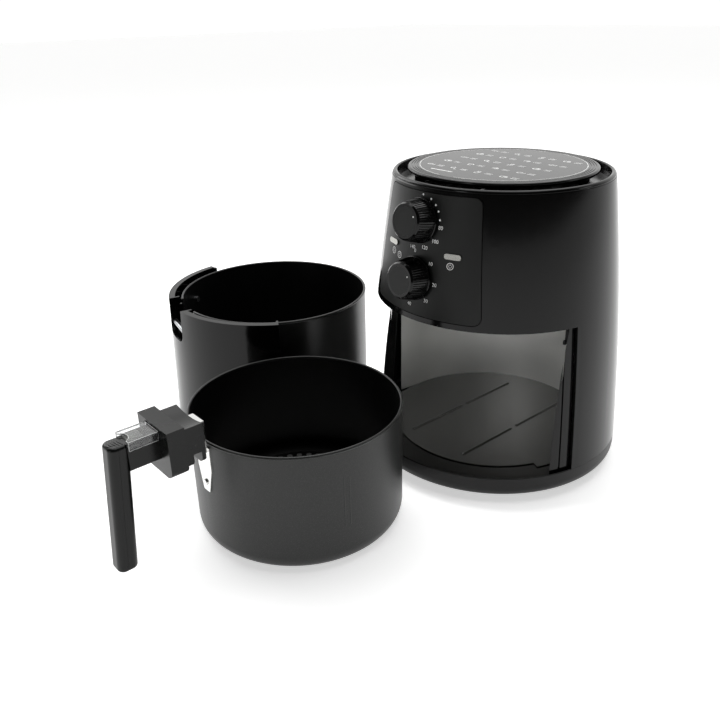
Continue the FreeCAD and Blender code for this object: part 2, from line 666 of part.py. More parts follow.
# ---- Top ----
def make_top_cover():
    """The ring round the top with the sunk well under the lid plate."""
    outer = body_radius(SHELL_TOP, 0.0)
    turn = 3.0
    mid = turn * (1 - math.sqrt(0.5))
    edges = [
        line((0, WELL_FLOOR - 2.5), (outer - 4, WELL_FLOOR - 2.5)),
        line((outer - 4, WELL_FLOOR - 2.5), (outer - 4, SHELL_TOP)),
        line((outer - 4, SHELL_TOP), (outer, SHELL_TOP)),
        line((outer, SHELL_TOP), (BODY_TOP, BODY_HEIGHT - turn)),
        arc((BODY_TOP, BODY_HEIGHT - turn), (BODY_TOP - mid, BODY_HEIGHT - mid),
            (BODY_TOP - turn, BODY_HEIGHT)),
        line((BODY_TOP - turn, BODY_HEIGHT), (WELL_RADIUS, BODY_HEIGHT - 0.6)),
        line((WELL_RADIUS, BODY_HEIGHT - 0.6), (WELL_RADIUS - 2, WELL_FLOOR)),
        line((WELL_RADIUS - 2, WELL_FLOOR), (0, WELL_FLOOR)),
        line((0, WELL_FLOOR), (0, WELL_FLOOR - 2.5))]
    cover = turned(profile(edges))
    slots = []
    for n in range(24):
        slot = box(48, 80, -2, 2, WELL_FLOOR - 5, WELL_FLOOR + 1)
        slot.rotate(ORIGIN, Z_AXIS, 15 * n + 7.5)
        slots.append(slot)
    bosses = [rod(5, polar(LID_RADIUS - 12, a, WELL_FLOOR - 0.5), Z_AXIS,
                  LID_BOTTOM - WELL_FLOOR + 0.5) for a in POST_AZIMUTHS]
    return fused([cover.cut(slots)] + bosses)


def make_top_lid():
    """Raised round plate with three turned grooves near its edge."""
    turn = 2.0
    mid = turn * (1 - math.sqrt(0.5))
    edges = [
        line((0, LID_BOTTOM), (LID_RADIUS - 1, LID_BOTTOM)),
        line((LID_RADIUS - 1, LID_BOTTOM), (LID_RADIUS, LID_BOTTOM + 1)),
        line((LID_RADIUS, LID_BOTTOM + 1), (LID_RADIUS, LID_TOP - turn)),
        arc((LID_RADIUS, LID_TOP - turn), (LID_RADIUS - mid, LID_TOP - mid),
            (LID_RADIUS - turn, LID_TOP)),
        line((LID_RADIUS - turn, LID_TOP), (0, LID_TOP)),
        line((0, LID_TOP), (0, LID_BOTTOM))]
    lid = turned(profile(edges))
    grooves = [ring(r - 0.5, r + 0.5, LID_TOP - 0.6, LID_TOP + 1)
               for r in (LID_RADIUS - 4, LID_RADIUS - 6.5, LID_RADIUS - 9)]
    return lid.cut(grooves)


# ---- Controls ----
def knob_profile():
    """Side of a knob in its own frame, standing 1 mm off the panel."""
    low, high = 1.0, 1.0 + KNOB_DEPTH
    return [(SHAFT_RADIUS + FIT, low), (KNOB_RADIUS + KNOB_SKIRT, low),
            (KNOB_RADIUS + KNOB_SKIRT, low + 1.5),
            (KNOB_RADIUS, low + 2), (KNOB_FRONT_RADIUS, high - 1.5),
            (KNOB_FRONT_RADIUS - 1.5, high), (KNOB_FRONT_RADIUS - 4, high),
            (KNOB_FRONT_RADIUS - 4, high - 1.2), (SHAFT_RADIUS + FIT, high - 1.2)]


def make_knob(z):
    return moved(turned(polygon(knob_profile())), panel_frame(z))


def make_knob_cap(z):
    radius = KNOB_FRONT_RADIUS - 4.05
    cap = rod(radius, Vector(0, 0, 1.0 + KNOB_DEPTH - 1.2), Z_AXIS, 1.2)
    return moved(cap, panel_frame(z))


def make_shaft(z, depth):
    shaft = rod(SHAFT_RADIUS, Vector(0, 0, -depth), Z_AXIS, depth + KNOB_DEPTH - 0.3)
    return moved(shaft, panel_frame(z))


def make_thermostat():
    body = rod(15, Vector(0, 0, -28), Z_AXIS, 19)
    bush = rod(5, Vector(0, 0, -10), Z_AXIS, 5)
    ears = Part.makeBox(44, 10, 1.5, Vector(-22, -5, -10.5))
    bore = rod(SHAFT_RADIUS + FIT, Vector(0, 0, -20), Z_AXIS, 20)
    return moved(fused([body, bush, ears]).cut(bore), panel_frame(UPPER_KNOB_Z))


def make_timer():
    body = Part.makeBox(42, 36, 16, Vector(-21, -18, -25.5))
    body = rounded(body, 3, lambda e: along(e, Z_AXIS))
    bush = rod(5, Vector(0, 0, -10), Z_AXIS, 5)
    bore = rod(SHAFT_RADIUS + FIT, Vector(0, 0, -20), Z_AXIS, 20)
    return moved(fused([body, bush]).cut(bore), panel_frame(LOWER_KNOB_Z))


def make_timer_bell():
    """Bell cup on a stem above the timer."""
    cup = rod(13, Vector(0, 0, -24), Z_AXIS, 7)
    hollow = rod(12, Vector(0, 0, -23), Z_AXIS, 7)
    stem = rod(2, Vector(0, 0, -24), Z_AXIS, 10)
    bell = cup.cut(hollow).fuse(stem)
    bell.translate(Vector(0, 32.5, 0))
    bracket = Part.makeBox(6, 16, 1.2, Vector(-3, 18.2, -14.5))
    return moved(bell.fuse(bracket).removeSplitter(), panel_frame(LOWER_KNOB_Z))


def make_lenses():
    lenses = []
    for azimuth in (-LENS_AZIMUTH, LENS_AZIMUTH):
        lenses.append(lens_prism(azimuth, 0, -7.0, 8.2))
    return Part.Compound(lenses)


def make_lamps():
    """Neon lamps behind the lenses."""
    lamps = []
    for azimuth in (-LENS_AZIMUTH, LENS_AZIMUTH):
        lamp = rod(2.5, Vector(-5, 0, -10), Vector(1, 0, 0), 10)
        lamps.append(moved(lamp, panel_frame(LENS_Z, azimuth)))
    return Part.Compound(lamps)


# ---- Drawer switch ----


def make_drawer_switch():
    """Switch block on the lintel, with the pivot pin for its lever."""
    block = box(LEVER_X - 8.5, LEVER_X - 1.5, LEVER_Y - 10, LEVER_Y + 12, SWITCH_Z, SWITCH_Z + 13)
    pin = rod(1.2, Vector(LEVER_X - 3, LEVER_Y, PIVOT_Z), Vector(1, 0, 0), 7)
    pad = box(LEVER_X - 8.5, LEVER_X - 1.5, LEVER_Y + 1, LEVER_Y + 12, OPENING_TOP + 2.5, SWITCH_Z)
    return fused([block, pin, pad])


def make_switch_lever():
    """Hooked lever that hangs through the lintel into the opening."""
    low = OPENING_TOP - 20
    arm = box(LEVER_X, LEVER_X + LEVER_THICK, LEVER_Y - 2.5, LEVER_Y + 2.5, low, PIVOT_Z)
    hub = rod(3.2, Vector(LEVER_X, LEVER_Y, PIVOT_Z), Vector(1, 0, 0), LEVER_THICK)
    hook = box(LEVER_X, LEVER_X + LEVER_THICK, LEVER_Y - 5.5, LEVER_Y, low, low + 4)
    bore = rod(1.2 + FIT, Vector(LEVER_X - 1, LEVER_Y, PIVOT_Z), Vector(1, 0, 0), 6)
    return fused([arm, hub, hook]).cut(bore)


def screw_bodies(grow):
    """The base screws, or with some growth the holes for them."""
    screws = []
    for azimuth in POST_AZIMUTHS:
        place = polar(CAVITY_RADIUS - 22, azimuth, FOOT_HEIGHT)
        shank = rod(2.0 + grow, place, Z_AXIS, 12)
        head = rod(3.6 + grow, place - Vector(0, 0, 1), Z_AXIS, 2.2 + grow)
        screws.append(shank.fuse(head).removeSplitter())
    return screws


def make_base_screws():
    """Four screws up through the base tray into its posts."""
    return Part.Compound(screw_bodies(0))


# ---- Pan with its front cover ----
def cup(radius, height, wall, corner):
    """A round pan with a rounded foot and a rolled rim."""
    turn = corner * (1 - math.sqrt(0.5))
    inner = corner - wall
    inner_turn = inner * (1 - math.sqrt(0.5))
    r = radius - wall
    edges = [
        line((0, 0), (radius - corner, 0)),
        arc((radius - corner, 0), (radius - turn, turn), (radius, corner)),
        line((radius, corner), (radius, height - RIM_BEAD)),
        line((radius, height - RIM_BEAD), (r, height - RIM_BEAD)),
        line((r, height - RIM_BEAD), (r, corner)),
        arc((r, corner), (r - inner_turn, wall + inner_turn), (radius - corner, wall)),
        line((radius - corner, wall), (0, wall)),
        line((0, wall), (0, 0))]
    bead = Part.makeTorus(radius - wall / 2, RIM_BEAD, Vector(0, 0, height - RIM_BEAD))
    return fused([turned(profile(edges)), bead])


def make_pan_shell():
    """The pan, with pads for the basket and its wall cut away for the handle."""
    shell = cup(PAN_RADIUS, PAN_HEIGHT, PAN_WALL, PAN_CORNER)
    pads = [rod(9, polar(BASKET_RADIUS - 30, a, PAN_WALL - 0.3), Z_AXIS, BASKET_SEAT + 0.3)
            for a in POST_AZIMUTHS]
    return fused([shell] + pads).cut([notch_prism(0)] + cover_screw_holes(2.1))


def cover_radius(z):
    """Outer radius of the drawer front, which widens towards its foot."""
    return COVER_RADIUS + (COVER_BOTTOM_STAND - COVER_TOP_STAND) * (COVER_TOP - z) / COVER_TOP


def cover_band(inner, outset, start, end, low=COVER_LOW, high=COVER_TOP):
    """Part of the drawer front between a radius and a skin depth."""
    points = [(inner, low), (cover_radius(low) + outset, low),
              (cover_radius(high) + outset, high), (inner, high)]
    return turned(polygon(points), start, end)


def notch_prism(grow):
    """U-shaped slot for the basket handle, run outward through the drawer front."""
    half, low = NOTCH_HALF_WIDTH + grow, NOTCH_BOTTOM - grow
    face = polygon([(-half, low), (half, low), (half, COVER_TOP + 20), (-half, COVER_TOP + 20)])
    prism = face.extrude(Vector(0, -2 * BODY_LOW, 0))
    return rounded(prism, 9.0 + grow,
                   lambda e: along(e, Vector(0, 1, 0)) and e.CenterOfMass.z < low + 1)


def behind_cover(start, end):
    """The room between pan and drawer front, clear of the rolled rim of the pan."""
    wide = cover_band(PAN_RADIUS + 0.3, -1, start, end, COVER_LOW, COVER_WEB_TOP)
    return wide.fuse(cover_band(PAN_RADIUS + RIM_BEAD + 1, -1, start, end))


def make_drawer_front():
    """Hollow front cover: skin, floor, top lip, end walls, inner webs and the handle notch."""
    a = COVER_HALF_ANGLE
    skin = turned(polygon([
        (cover_radius(COVER_LOW) - COVER_WALL, COVER_LOW), (cover_radius(COVER_LOW), COVER_LOW),
        (cover_radius(COVER_TOP), COVER_TOP), (cover_radius(COVER_TOP) - COVER_WALL, COVER_TOP)]), -a, a)
    floor = cover_band(PAN_RADIUS + 0.3, -1, -a, a, COVER_LOW, COVER_LOW + 2.5)
    lip = ring(COVER_RADIUS - COVER_WALL - COVER_LIP, COVER_RADIUS - 1,
               COVER_TOP - COVER_LIP_SHEET, COVER_TOP, -a, a)
    ends = [behind_cover(-a, 1.2 - a), behind_cover(a - 1.2, a)]
    webs = [cover_band(PAN_RADIUS + 0.3, -1, w - 0.5, w + 0.5, COVER_LOW, COVER_WEB_TOP)
            for w in (-58, -46, -34, -22, 22, 34, 46, 58)]
    frame = notch_prism(COVER_WALL).common(behind_cover(-40, 40))
    cover = fused([skin, floor, lip, frame] + ends + webs)
    return cover.cut([notch_prism(0), catch_pin(PIN_RADIUS + FIT)] + cover_screw_holes(1.6))


def catch_pin(radius):
    half = NOTCH_HALF_WIDTH + COVER_WALL + 1
    return rod(radius, Vector(-half, -PIN_Y, PIN_Z), Vector(1, 0, 0), 2 * half)


def cover_screw_holes(radius):
    holes = []
    for azimuth, z in COVER_SCREWS:
        start, out = polar(PAN_RADIUS - 4, azimuth, z), polar(1, azimuth)
        holes.append(rod(radius, start, out, 4 + 11))
    return holes


def make_cover_screws():
    """Screws from inside the pan into the webs of the drawer front."""
    screws = []
    for azimuth, z in COVER_SCREWS:
        out = polar(1, azimuth)
        head = rod(3.8, polar(PAN_RADIUS - PAN_WALL - 2, azimuth, z), out, 1.9)
        shank = rod(1.55, polar(PAN_RADIUS - PAN_WALL - 1, azimuth, z), out, 11)
        screws.append(head.fuse(shank).removeSplitter())
    return Part.Compound(screws)


# ---- Basket ----
def make_basket_shell():
    shell = cup(BASKET_RADIUS, BASKET_HEIGHT, BASKET_WALL, BASKET_CORNER)
    foot = DISH_RADIUS + DISH_SLOPE
    cone = turned(polygon([(0, -1), (foot, -1), (DISH_RADIUS, BASKET_DISH), (0, BASKET_DISH)]))
    raised = turned(polygon([
        (0, BASKET_DISH), (DISH_RADIUS, BASKET_DISH), (foot, 0), (foot, BASKET_WALL),
        (DISH_RADIUS + BASKET_WALL, BASKET_DISH + BASKET_WALL), (0, BASKET_DISH + BASKET_WALL)]))
    shell = shell.cut(cone).fuse(raised).removeSplitter()
    holes = []
    rings = int((DISH_RADIUS - HOLE_RADIUS - 2) / HOLE_PITCH)
    for n in range(1, rings + 1):
        radius = n * HOLE_PITCH
        count = int(2 * math.pi * radius / (HOLE_PITCH * 0.95))
        for k in range(count):
            holes.append(rod(HOLE_RADIUS, polar(radius, 360.0 * k / count, BASKET_DISH - 1), Z_AXIS,
                             BASKET_WALL + 2))
    return shell.cut(holes + bracket_screw_holes(1.6))


def bracket_screw_holes(radius):
    return [rod(radius, Vector(0, 0, z) - Vector(0, BASKET_RADIUS - 6, 0), Vector(0, -1, 0), 12)
            for z in BRACKET_SCREWS]


def neck_sheets(grow):
    """Top and cheeks of the channel that carries the handle, or the room they need."""
    half, sheet = NECK_HALF_WIDTH + grow, BRACKET_SHEET + 2 * grow
    y0, y1 = -(BLOCK_INNER + NECK_BITE + grow), -(BASKET_RADIUS + RIM_BEAD - 0.4)
    sheets = [box(-half, half, y0, y1, NECK_TOP + grow - sheet, NECK_TOP + grow)]
    for x in (-half, half - sheet):
        sheets.append(box(x, x + sheet, y0, y1, NECK_BOTTOM - grow, NECK_TOP))
    return sheets


def make_bracket_plate():
    """Bright plate on the basket wall, tapered at its foot, with the channel for the handle."""
    inner = BASKET_RADIUS + 0.05
    band = ring(inner, inner + BRACKET_SHEET, BRACKET_LOW, BRACKET_HIGH, -12, 12)
    outline = polygon([(-BRACKET_HALF * 0.45, BRACKET_LOW), (BRACKET_HALF * 0.45, BRACKET_LOW),
                       (BRACKET_HALF, BRACKET_LOW + 24), (BRACKET_HALF, BRACKET_HIGH),
                       (-BRACKET_HALF, BRACKET_HIGH), (-BRACKET_HALF, BRACKET_LOW + 24)])
    plate = band.common(outline.extrude(Vector(0, -2 * BASKET_RADIUS, 0)))
    cheeks = []
    for x in (-NECK_HALF_WIDTH, NECK_HALF_WIDTH - BRACKET_SHEET):
        x1 = x + BRACKET_SHEET
        cheeks.append(box(x, x1, -(BLOCK_INNER - 0.5), -(inner + 0.35), NECK_FOOT, BRACKET_HIGH))
        cheeks.append(box(x, x1, -(BLOCK_INNER - 0.5), -(inner + 1.05), NECK_FOOT, NECK_BOTTOM + 1))
    pin_bore = rod(LATCH_PIN_RADIUS + FIT, Vector(-20, *HOOK_PIVOT), Vector(1, 0, 0), 40)
    return fused([plate] + cheeks + neck_sheets(0)).cut([pin_bore] + bracket_screw_holes(1.6))


def make_bracket_screws():
    screws = []
    for z in BRACKET_SCREWS:
        y = -(BASKET_RADIUS + 0.05 + BRACKET_SHEET)
        head = rod(3.0, Vector(0, y, z), Vector(0, -1, 0), 1.4)
        shank = rod(1.55, Vector(0, y - 1, z), Vector(0, 1, 0), 6)
        screws.append(head.fuse(shank).removeSplitter())
    return Part.Compound(screws)


# ---- Handle ----
def handle_block_prism(half, low, high, dip, y0, y1, corner):
    """Block across the handle with rounded lower corners and a saddle-shaped top."""
    face = profile([
        line((-half, low), (half, low)), line((half, low), (half, high)),
        arc((half, high), (0, high - dip), (-half, high)), line((-half, high), (-half, low))])
    prism = face.extrude(Vector(0, y1 - y0, 0))
    prism.translate(Vector(0, y0, 0))
    return rounded(prism, corner, lambda e: along(e, Vector(0, 1, 0)) and e.CenterOfMass.z < low + 1)


def lever_space():
    """Room inside blocks and arm for the latch lever and for the button."""
    return [
        box(-LEVER_HALF - 1, LEVER_HALF + 1, -(GRIP_INNER - 2), -(BLOCK_INNER - 10),
            HOOK_PIVOT[1] - 5.5, HOOK_PIVOT[1] + 4.5),
        box(-LEVER_HALF - 1, LEVER_HALF + 1, HOOK_PIVOT[0] - 5, -(BLOCK_INNER - 10),
            BLOCK_BOTTOM - 5, HOOK_PIVOT[1] + 4.5),
        box(-BUTTON_HALF - 0.4, BUTTON_HALF + 0.4, BUTTON_Y - BUTTON_HALF - 0.4,
            BUTTON_Y + BUTTON_HALF + 0.4, BUTTON_LOW - BUTTON_TRAVEL - 1, ARM_TOP + 1)]


def make_handle_block():
    """Inner block round the end of the channel, with a groove for the catch pin."""
    block = handle_block_prism(BLOCK_HALF_WIDTH, BLOCK_BOTTOM, BLOCK_TOP, BLOCK_DIP,
                               -FLANGE_INNER, -BLOCK_INNER, 6)
    groove = box(-40, 40, -(PIN_Y + PIN_RADIUS + 0.8), -(PIN_Y - PIN_RADIUS - 0.8),
                 BLOCK_BOTTOM - 1, PIN_Z - BASKET_SEAT - PAN_WALL + PIN_RADIUS + 0.3)
    pin_bore = rod(LATCH_PIN_RADIUS + FIT, Vector(-NECK_HALF_WIDTH, *HOOK_PIVOT),
                   Vector(1, 0, 0), 2 * NECK_HALF_WIDTH)
    return block.cut([groove, pin_bore] + neck_sheets(FIT) + lever_space())


def guard_tunnel():
    """Slot in the flange that the slid-back guard enters."""
    half = HANDLE_WIDTH / 2 + GUARD_SHEET + 0.9
    return box(-half, half, -(FLANGE_OUTER + 1), -(FLANGE_OUTER - GUARD_TRAVEL), ARM_TOP - 7,
               ARM_TOP + GUARD_SHEET + 1.8)


def make_handle_flange():
    """Outer flange that closes the notch of the drawer front."""
    flange = handle_block_prism(FLANGE_HALF_WIDTH, FLANGE_BOTTOM, FLANGE_TOP, FLANGE_DIP,
                                -FLANGE_OUTER, -FLANGE_INNER, 9)
    return flange.cut([guard_tunnel()] + lever_space())


def grip(y0, y1):
    """The part of the raked, round-cornered grip between two depths at its top."""
    rake = Vector(0, -GRIP_RAKE, -GRIP_LENGTH)
    block = box(-HANDLE_WIDTH / 2, HANDLE_WIDTH / 2, -GRIP_OUTER, -GRIP_INNER, ARM_TOP, ARM_TOP + 1)
    block = rounded(block, 6.5, lambda e: along(e, Z_AXIS))
    outline = [f for f in block.Faces if abs(f.CenterOfMass.z - ARM_TOP) < 1e-6][0]
    whole = outline.extrude(rake)
    ends = (ARM_TOP, ARM_TOP - GRIP_LENGTH)
    whole = rounded(whole, GRIP_END, lambda e: min(abs(e.BoundBox.ZMin - z) + abs(e.BoundBox.ZMax - z)
                                                   for z in ends) < 1e-3)
    slab = Part.makePlane(HANDLE_WIDTH + 4, y1 - y0, Vector(-HANDLE_WIDTH / 2 - 2, -y1, ARM_TOP))
    return whole.common(slab.extrude(rake))


def grip_screws(grow):
    """Screw heads let into the inner side of the grip, or the holes for them."""
    screws = []
    for drop in (45.0, 100.0):
        y = -(GRIP_INNER + GRIP_RAKE * drop / GRIP_LENGTH)
        start = Vector(0, y + grow, ARM_TOP - drop)
        screws.append(rod(2.6 + grow, start, Vector(0, -1, 0), 3.0 + grow))
    return screws


def make_handle_body():
    """Arm and the inner part of the grip, in one moulding."""
    bar = box(-HANDLE_WIDTH / 2, HANDLE_WIDTH / 2, -(GRIP_INNER + 4), -FLANGE_OUTER,
              ARM_BOTTOM, ARM_TOP)
    bar = rounded(bar, 2.0, lambda e: along(e, Vector(0, 1, 0)))
    rear = grip(GRIP_INNER - 1, GRIP_SEAM)
    return fused([bar, rear]).cut(lever_space() + grip_screws(FIT))


def make_handle_front():
    return grip(GRIP_SEAM + 0.15, GRIP_OUTER + 1)


def make_handle_screws():
    """Screws from the basket side that hold the two parts of the grip together."""
    return Part.Compound(grip_screws(0))


def make_release_button():
    """Push button with a stem down to the latch lever."""
    block = box(-BUTTON_HALF, BUTTON_HALF, BUTTON_Y - BUTTON_HALF, BUTTON_Y + BUTTON_HALF,
                BUTTON_LOW, ARM_TOP + 0.6)
    block = rounded(block, 1.2, lambda e: e.CenterOfMass.z > ARM_TOP)
    low = HOOK_PIVOT[1] + LEVER_DEPTH / 2 + 0.3
    stem = rod(2.0, Vector(0, BUTTON_Y, low), Z_AXIS, BUTTON_LOW - low + 1)
    return block.fuse(stem).removeSplitter()


def make_button_spring():
    """Return spring under the button, drawn as three separate coils."""
    low = BUTTON_LOW - BUTTON_TRAVEL - 1
    return Part.Compound([Part.makeTorus(5.0, 0.5, Vector(0, BUTTON_Y, low + 0.6 + 1.2 * n))
                          for n in range(3)])


def make_latch_hook():
    """Bent lever: a long arm under the button and a hooked shank beside the catch pin."""
    y, z = HOOK_PIVOT
    half = LEVER_DEPTH / 2
    barb_top = PIN_Z - BASKET_SEAT - PAN_WALL - PIN_RADIUS - 1.0
    barb_low, shank_back = barb_top - 1.8, SHANK_Y + 1.5
    barb_tip = -(PIN_Y - PIN_RADIUS) - LATCH_BITE
    arm = box(-LEVER_HALF, LEVER_HALF, BUTTON_Y - 2.5, y + 3, z - half, z + half)
    hub = rod(3.4, Vector(-LEVER_HALF, y, z), Vector(1, 0, 0), 2 * LEVER_HALF)
    bend = box(-LEVER_HALF, LEVER_HALF, y - 2, shank_back, z - half, z + half)
    shank = box(-LEVER_HALF, LEVER_HALF, SHANK_Y, shank_back, barb_low, z + half)
    barb = box(-LEVER_HALF, LEVER_HALF, barb_tip, shank_back, barb_low, barb_top)
    bore = rod(LATCH_PIN_RADIUS + FIT, Vector(-8, y, z), Vector(1, 0, 0), 16)
    return fused([arm, hub, bend, shank, barb]).cut(bore)


def make_latch_pin():
    half = NECK_HALF_WIDTH - 0.1
    return rod(LATCH_PIN_RADIUS, Vector(-half, *HOOK_PIVOT), Vector(1, 0, 0), 2 * half)


def make_slide_guard():
    """Clear cover over the button, with side skirts that grip the arm."""
    y0, y1 = -(GRIP_INNER + 3.0), -(GRIP_INNER + 3.0) + GUARD_LENGTH
    gap = 0.4
    half = HANDLE_WIDTH / 2 + gap
    outer = box(-half - GUARD_SHEET, half + GUARD_SHEET, y0, y1, ARM_TOP - 5.5, ARM_TOP + 1.2 + GUARD_SHEET)
    inner = box(-half, half, y0 - 1, y1 + 1, ARM_TOP - 7, ARM_TOP + 1.2)
    thumb = rod(9.0, Vector(0, y0 - 4, ARM_TOP), Z_AXIS, 5)
    return outer.cut([inner, thumb])


# ---- Assembly ----
def group_placement(distance, azimuth, turn):
    return Placement(polar(distance, azimuth), Rotation(Z_AXIS, turn))


HOUSING_NODES = {
    "front_shell": make_front_shell,
    "rear_cover": make_rear_cover,
    "rear_vent": make_rear_vent,
    "cord_inlet": make_cord_inlet,
    "control_panel": make_control_panel,
    "side_jambs": make_side_jambs,
    "base_tray": make_base_tray,
    "floor_plate": make_floor_plate,
    "rubber_feet": make_feet,
    "base_screws": make_base_screws,
    "cavity_liner": make_liner,
    "cavity_floor": make_cavity_floor,
    "cavity_ceiling": make_cavity_ceiling,
    "heat_dome": make_heat_dome,
    "heat_shield": make_heat_shield,
    "heating_element": make_heating_element,
    "element_clips": make_element_clips,
    "convection_fan": make_convection_fan,
    "cooling_fan": make_cooling_fan,
    "fan_shaft": make_fan_shaft,
    "motor_rotor": make_motor_rotor,
    "motor_core": make_motor_core,
    "motor_coil": make_motor_coil,
    "motor_bearings": make_motor_bearings,
    "motor_screws": make_motor_screws,
    "motor_spacers": make_motor_spacers,
    "thermal_fuse": make_thermal_fuse,
    "top_cover": make_top_cover,
    "top_lid": make_top_lid,
    "temperature_knob": lambda: make_knob(UPPER_KNOB_Z),
    "temperature_knob_cap": lambda: make_knob_cap(UPPER_KNOB_Z),
    "temperature_shaft": lambda: make_shaft(UPPER_KNOB_Z, 18),
    "thermostat": make_thermostat,
    "timer_knob": lambda: make_knob(LOWER_KNOB_Z),
    "timer_knob_cap": lambda: make_knob_cap(LOWER_KNOB_Z),
    "timer_shaft": lambda: make_shaft(LOWER_KNOB_Z, 18),
    "timer": make_timer,
    "timer_bell": make_timer_bell,
    "indicator_lenses": make_lenses,
    "indicator_lamps": make_lamps,
    "drawer_switch": make_drawer_switch,
    "switch_lever": make_switch_lever,
}
PAN_NODES = {
    "pan_shell": make_pan_shell,
    "drawer_front": make_drawer_front,
    "catch_pin": lambda: catch_pin(PIN_RADIUS),
    "cover_screws": make_cover_screws,
}
BASKET_NODES = {
    "basket_shell": make_basket_shell,
    "bracket_plate": make_bracket_plate,
    "bracket_screws": make_bracket_screws,
    "handle_block": make_handle_block,
    "handle_flange": make_handle_flange,
    "handle_body": make_handle_body,
    "handle_front": make_handle_front,
    "handle_screws": make_handle_screws,
    "release_button": make_release_button,
    "button_spring": make_button_spring,
    "latch_hook": make_latch_hook,
    "latch_pin": make_latch_pin,
    "slide_guard": make_slide_guard,
}
GROUPS = (
    (HOUSING_NODES, Placement()),
    (PAN_NODES, group_placement(*PAN_PLACE, PAN_TURN)),
    (BASKET_NODES, group_placement(*BASKET_PLACE, 0)),
)


def build():
    shapes = {}
    for nodes, placement in GROUPS:
        for name, make in nodes.items():
            shapes[name] = moved(make(), placement)
    whole = Part.Compound(list(shapes.values())).optimalBoundingBox(False, False)
    shift = Vector(-whole.Center.x, -whole.Center.y, -whole.ZMin)
    return {name: moved(s, Placement(shift, Rotation())) for name, s in shapes.items()}, shift


SHAPES, SHIFT = build()
os.makedirs("parts", exist_ok=True)
for node, shape in SHAPES.items():
    shape.exportStep("parts/" + node + ".step")
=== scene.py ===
import bmesh
import bpy
import math
from mathutils import Matrix, Vector
from mathutils.bvhtree import BVHTree


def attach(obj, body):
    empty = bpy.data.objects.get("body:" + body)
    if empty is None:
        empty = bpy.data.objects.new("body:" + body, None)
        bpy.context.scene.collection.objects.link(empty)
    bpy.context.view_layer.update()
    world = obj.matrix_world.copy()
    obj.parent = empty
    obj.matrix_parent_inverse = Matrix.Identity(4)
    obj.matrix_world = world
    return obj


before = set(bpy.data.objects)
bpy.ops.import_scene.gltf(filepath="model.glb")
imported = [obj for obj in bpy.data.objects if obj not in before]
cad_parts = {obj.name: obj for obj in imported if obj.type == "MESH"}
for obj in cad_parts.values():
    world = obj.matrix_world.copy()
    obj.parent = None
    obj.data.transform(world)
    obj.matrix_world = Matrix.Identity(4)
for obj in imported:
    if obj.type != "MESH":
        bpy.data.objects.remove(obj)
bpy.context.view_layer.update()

# ---- The table top, the light and the view ----
# A round air fryer stands on a pale table, with its pan and its basket lifted out in front.
# The table is matt and nearly white; soft light comes from above and from behind the object.


def srgb(code):
    """A hex colour as linear red, green, blue and a full alpha."""
    parts = [int(code[i:i + 2], 16) / 255 for i in (1, 3, 5)]
    linear = [c / 12.92 if c <= 0.04045 else ((c + 0.055) / 1.055)**2.4 for c in parts]
    return (*linear, 1.0)


def add_node(tree, kind, inputs=None, **settings):
    """A node with its settings, its fixed inputs and its links."""
    node = tree.nodes.new(kind)
    for name, value in settings.items():
        setattr(node, name, value)
    for key, value in (inputs or {}).items():
        if isinstance(value, bpy.types.NodeSocket):
            tree.links.new(value, node.inputs[key])
        else:
            node.inputs[key].default_value = value
    return node


def new_material(name, **shader_inputs):
    """A material and its shader, set by the names of the shader's own sockets."""
    material = bpy.data.materials.new(name)
    material.use_nodes = True
    shader = material.node_tree.nodes["Principled BSDF"]
    for key, value in shader_inputs.items():
        shader.inputs[key.replace("_", " ")].default_value = value
    return material, material.node_tree, shader


CAMERA_PLACE = (0.6061, -0.4644, 0.4610)
CAMERA_ANGLES = (49.51, 25.03, -1.36)
# Each light: name, place, size and power.
LIGHTS = (("light_above", (-0.3, 0.5, 2.2), 2.2, 30),
          ("light_left", (-2.2, -0.2, 1.3), 1.5, 15),
          ("light_right", (1.7, 1.5, 1.0), 0.6, 2),
          ("light_front", (0.1, -2.4, 0.9), 0.5, 3))
TABLE_HALF = 14.0
TABLE_LEVEL = -0.0002


def place_camera():
    """A camera a little above the object, to the right of its front."""
    turn, drop, roll = [math.radians(angle) for angle in CAMERA_ANGLES]
    forward = Vector((-math.sin(turn) * math.cos(drop), math.cos(turn) * math.cos(drop),
                      -math.sin(drop)))
    right = Vector((math.cos(turn), math.sin(turn), 0))
    right = math.cos(roll) * right + math.sin(roll) * right.cross(forward)
    up = right.cross(forward)
    camera = bpy.data.objects.new("camera", bpy.data.cameras.new("camera"))
    camera.data.lens, camera.data.sensor_width = 38.0, 36.0
    camera.data.clip_start, camera.data.clip_end = 0.01, 50
    camera.matrix_world = Matrix.Translation(CAMERA_PLACE) @ Matrix(
        [(right.x, up.x, -forward.x, 0), (right.y, up.y, -forward.y, 0),
         (right.z, up.z, -forward.z, 0), (0, 0, 0, 1)])
    bpy.context.collection.objects.link(camera)
    bpy.context.scene.camera = camera


def soft_light(name, place, size, power):
    """A square area light that faces the middle of the object."""
    light = bpy.data.objects.new(name, bpy.data.lights.new(name, "AREA"))
    light.data.energy, light.data.size = power, size
    aim = (Vector((0, 0, 0.12)) - Vector(place)).to_track_quat("-Z", "Y")
    light.matrix_world = Matrix.Translation(place) @ aim.to_matrix().to_4x4()
    bpy.context.collection.objects.link(light)


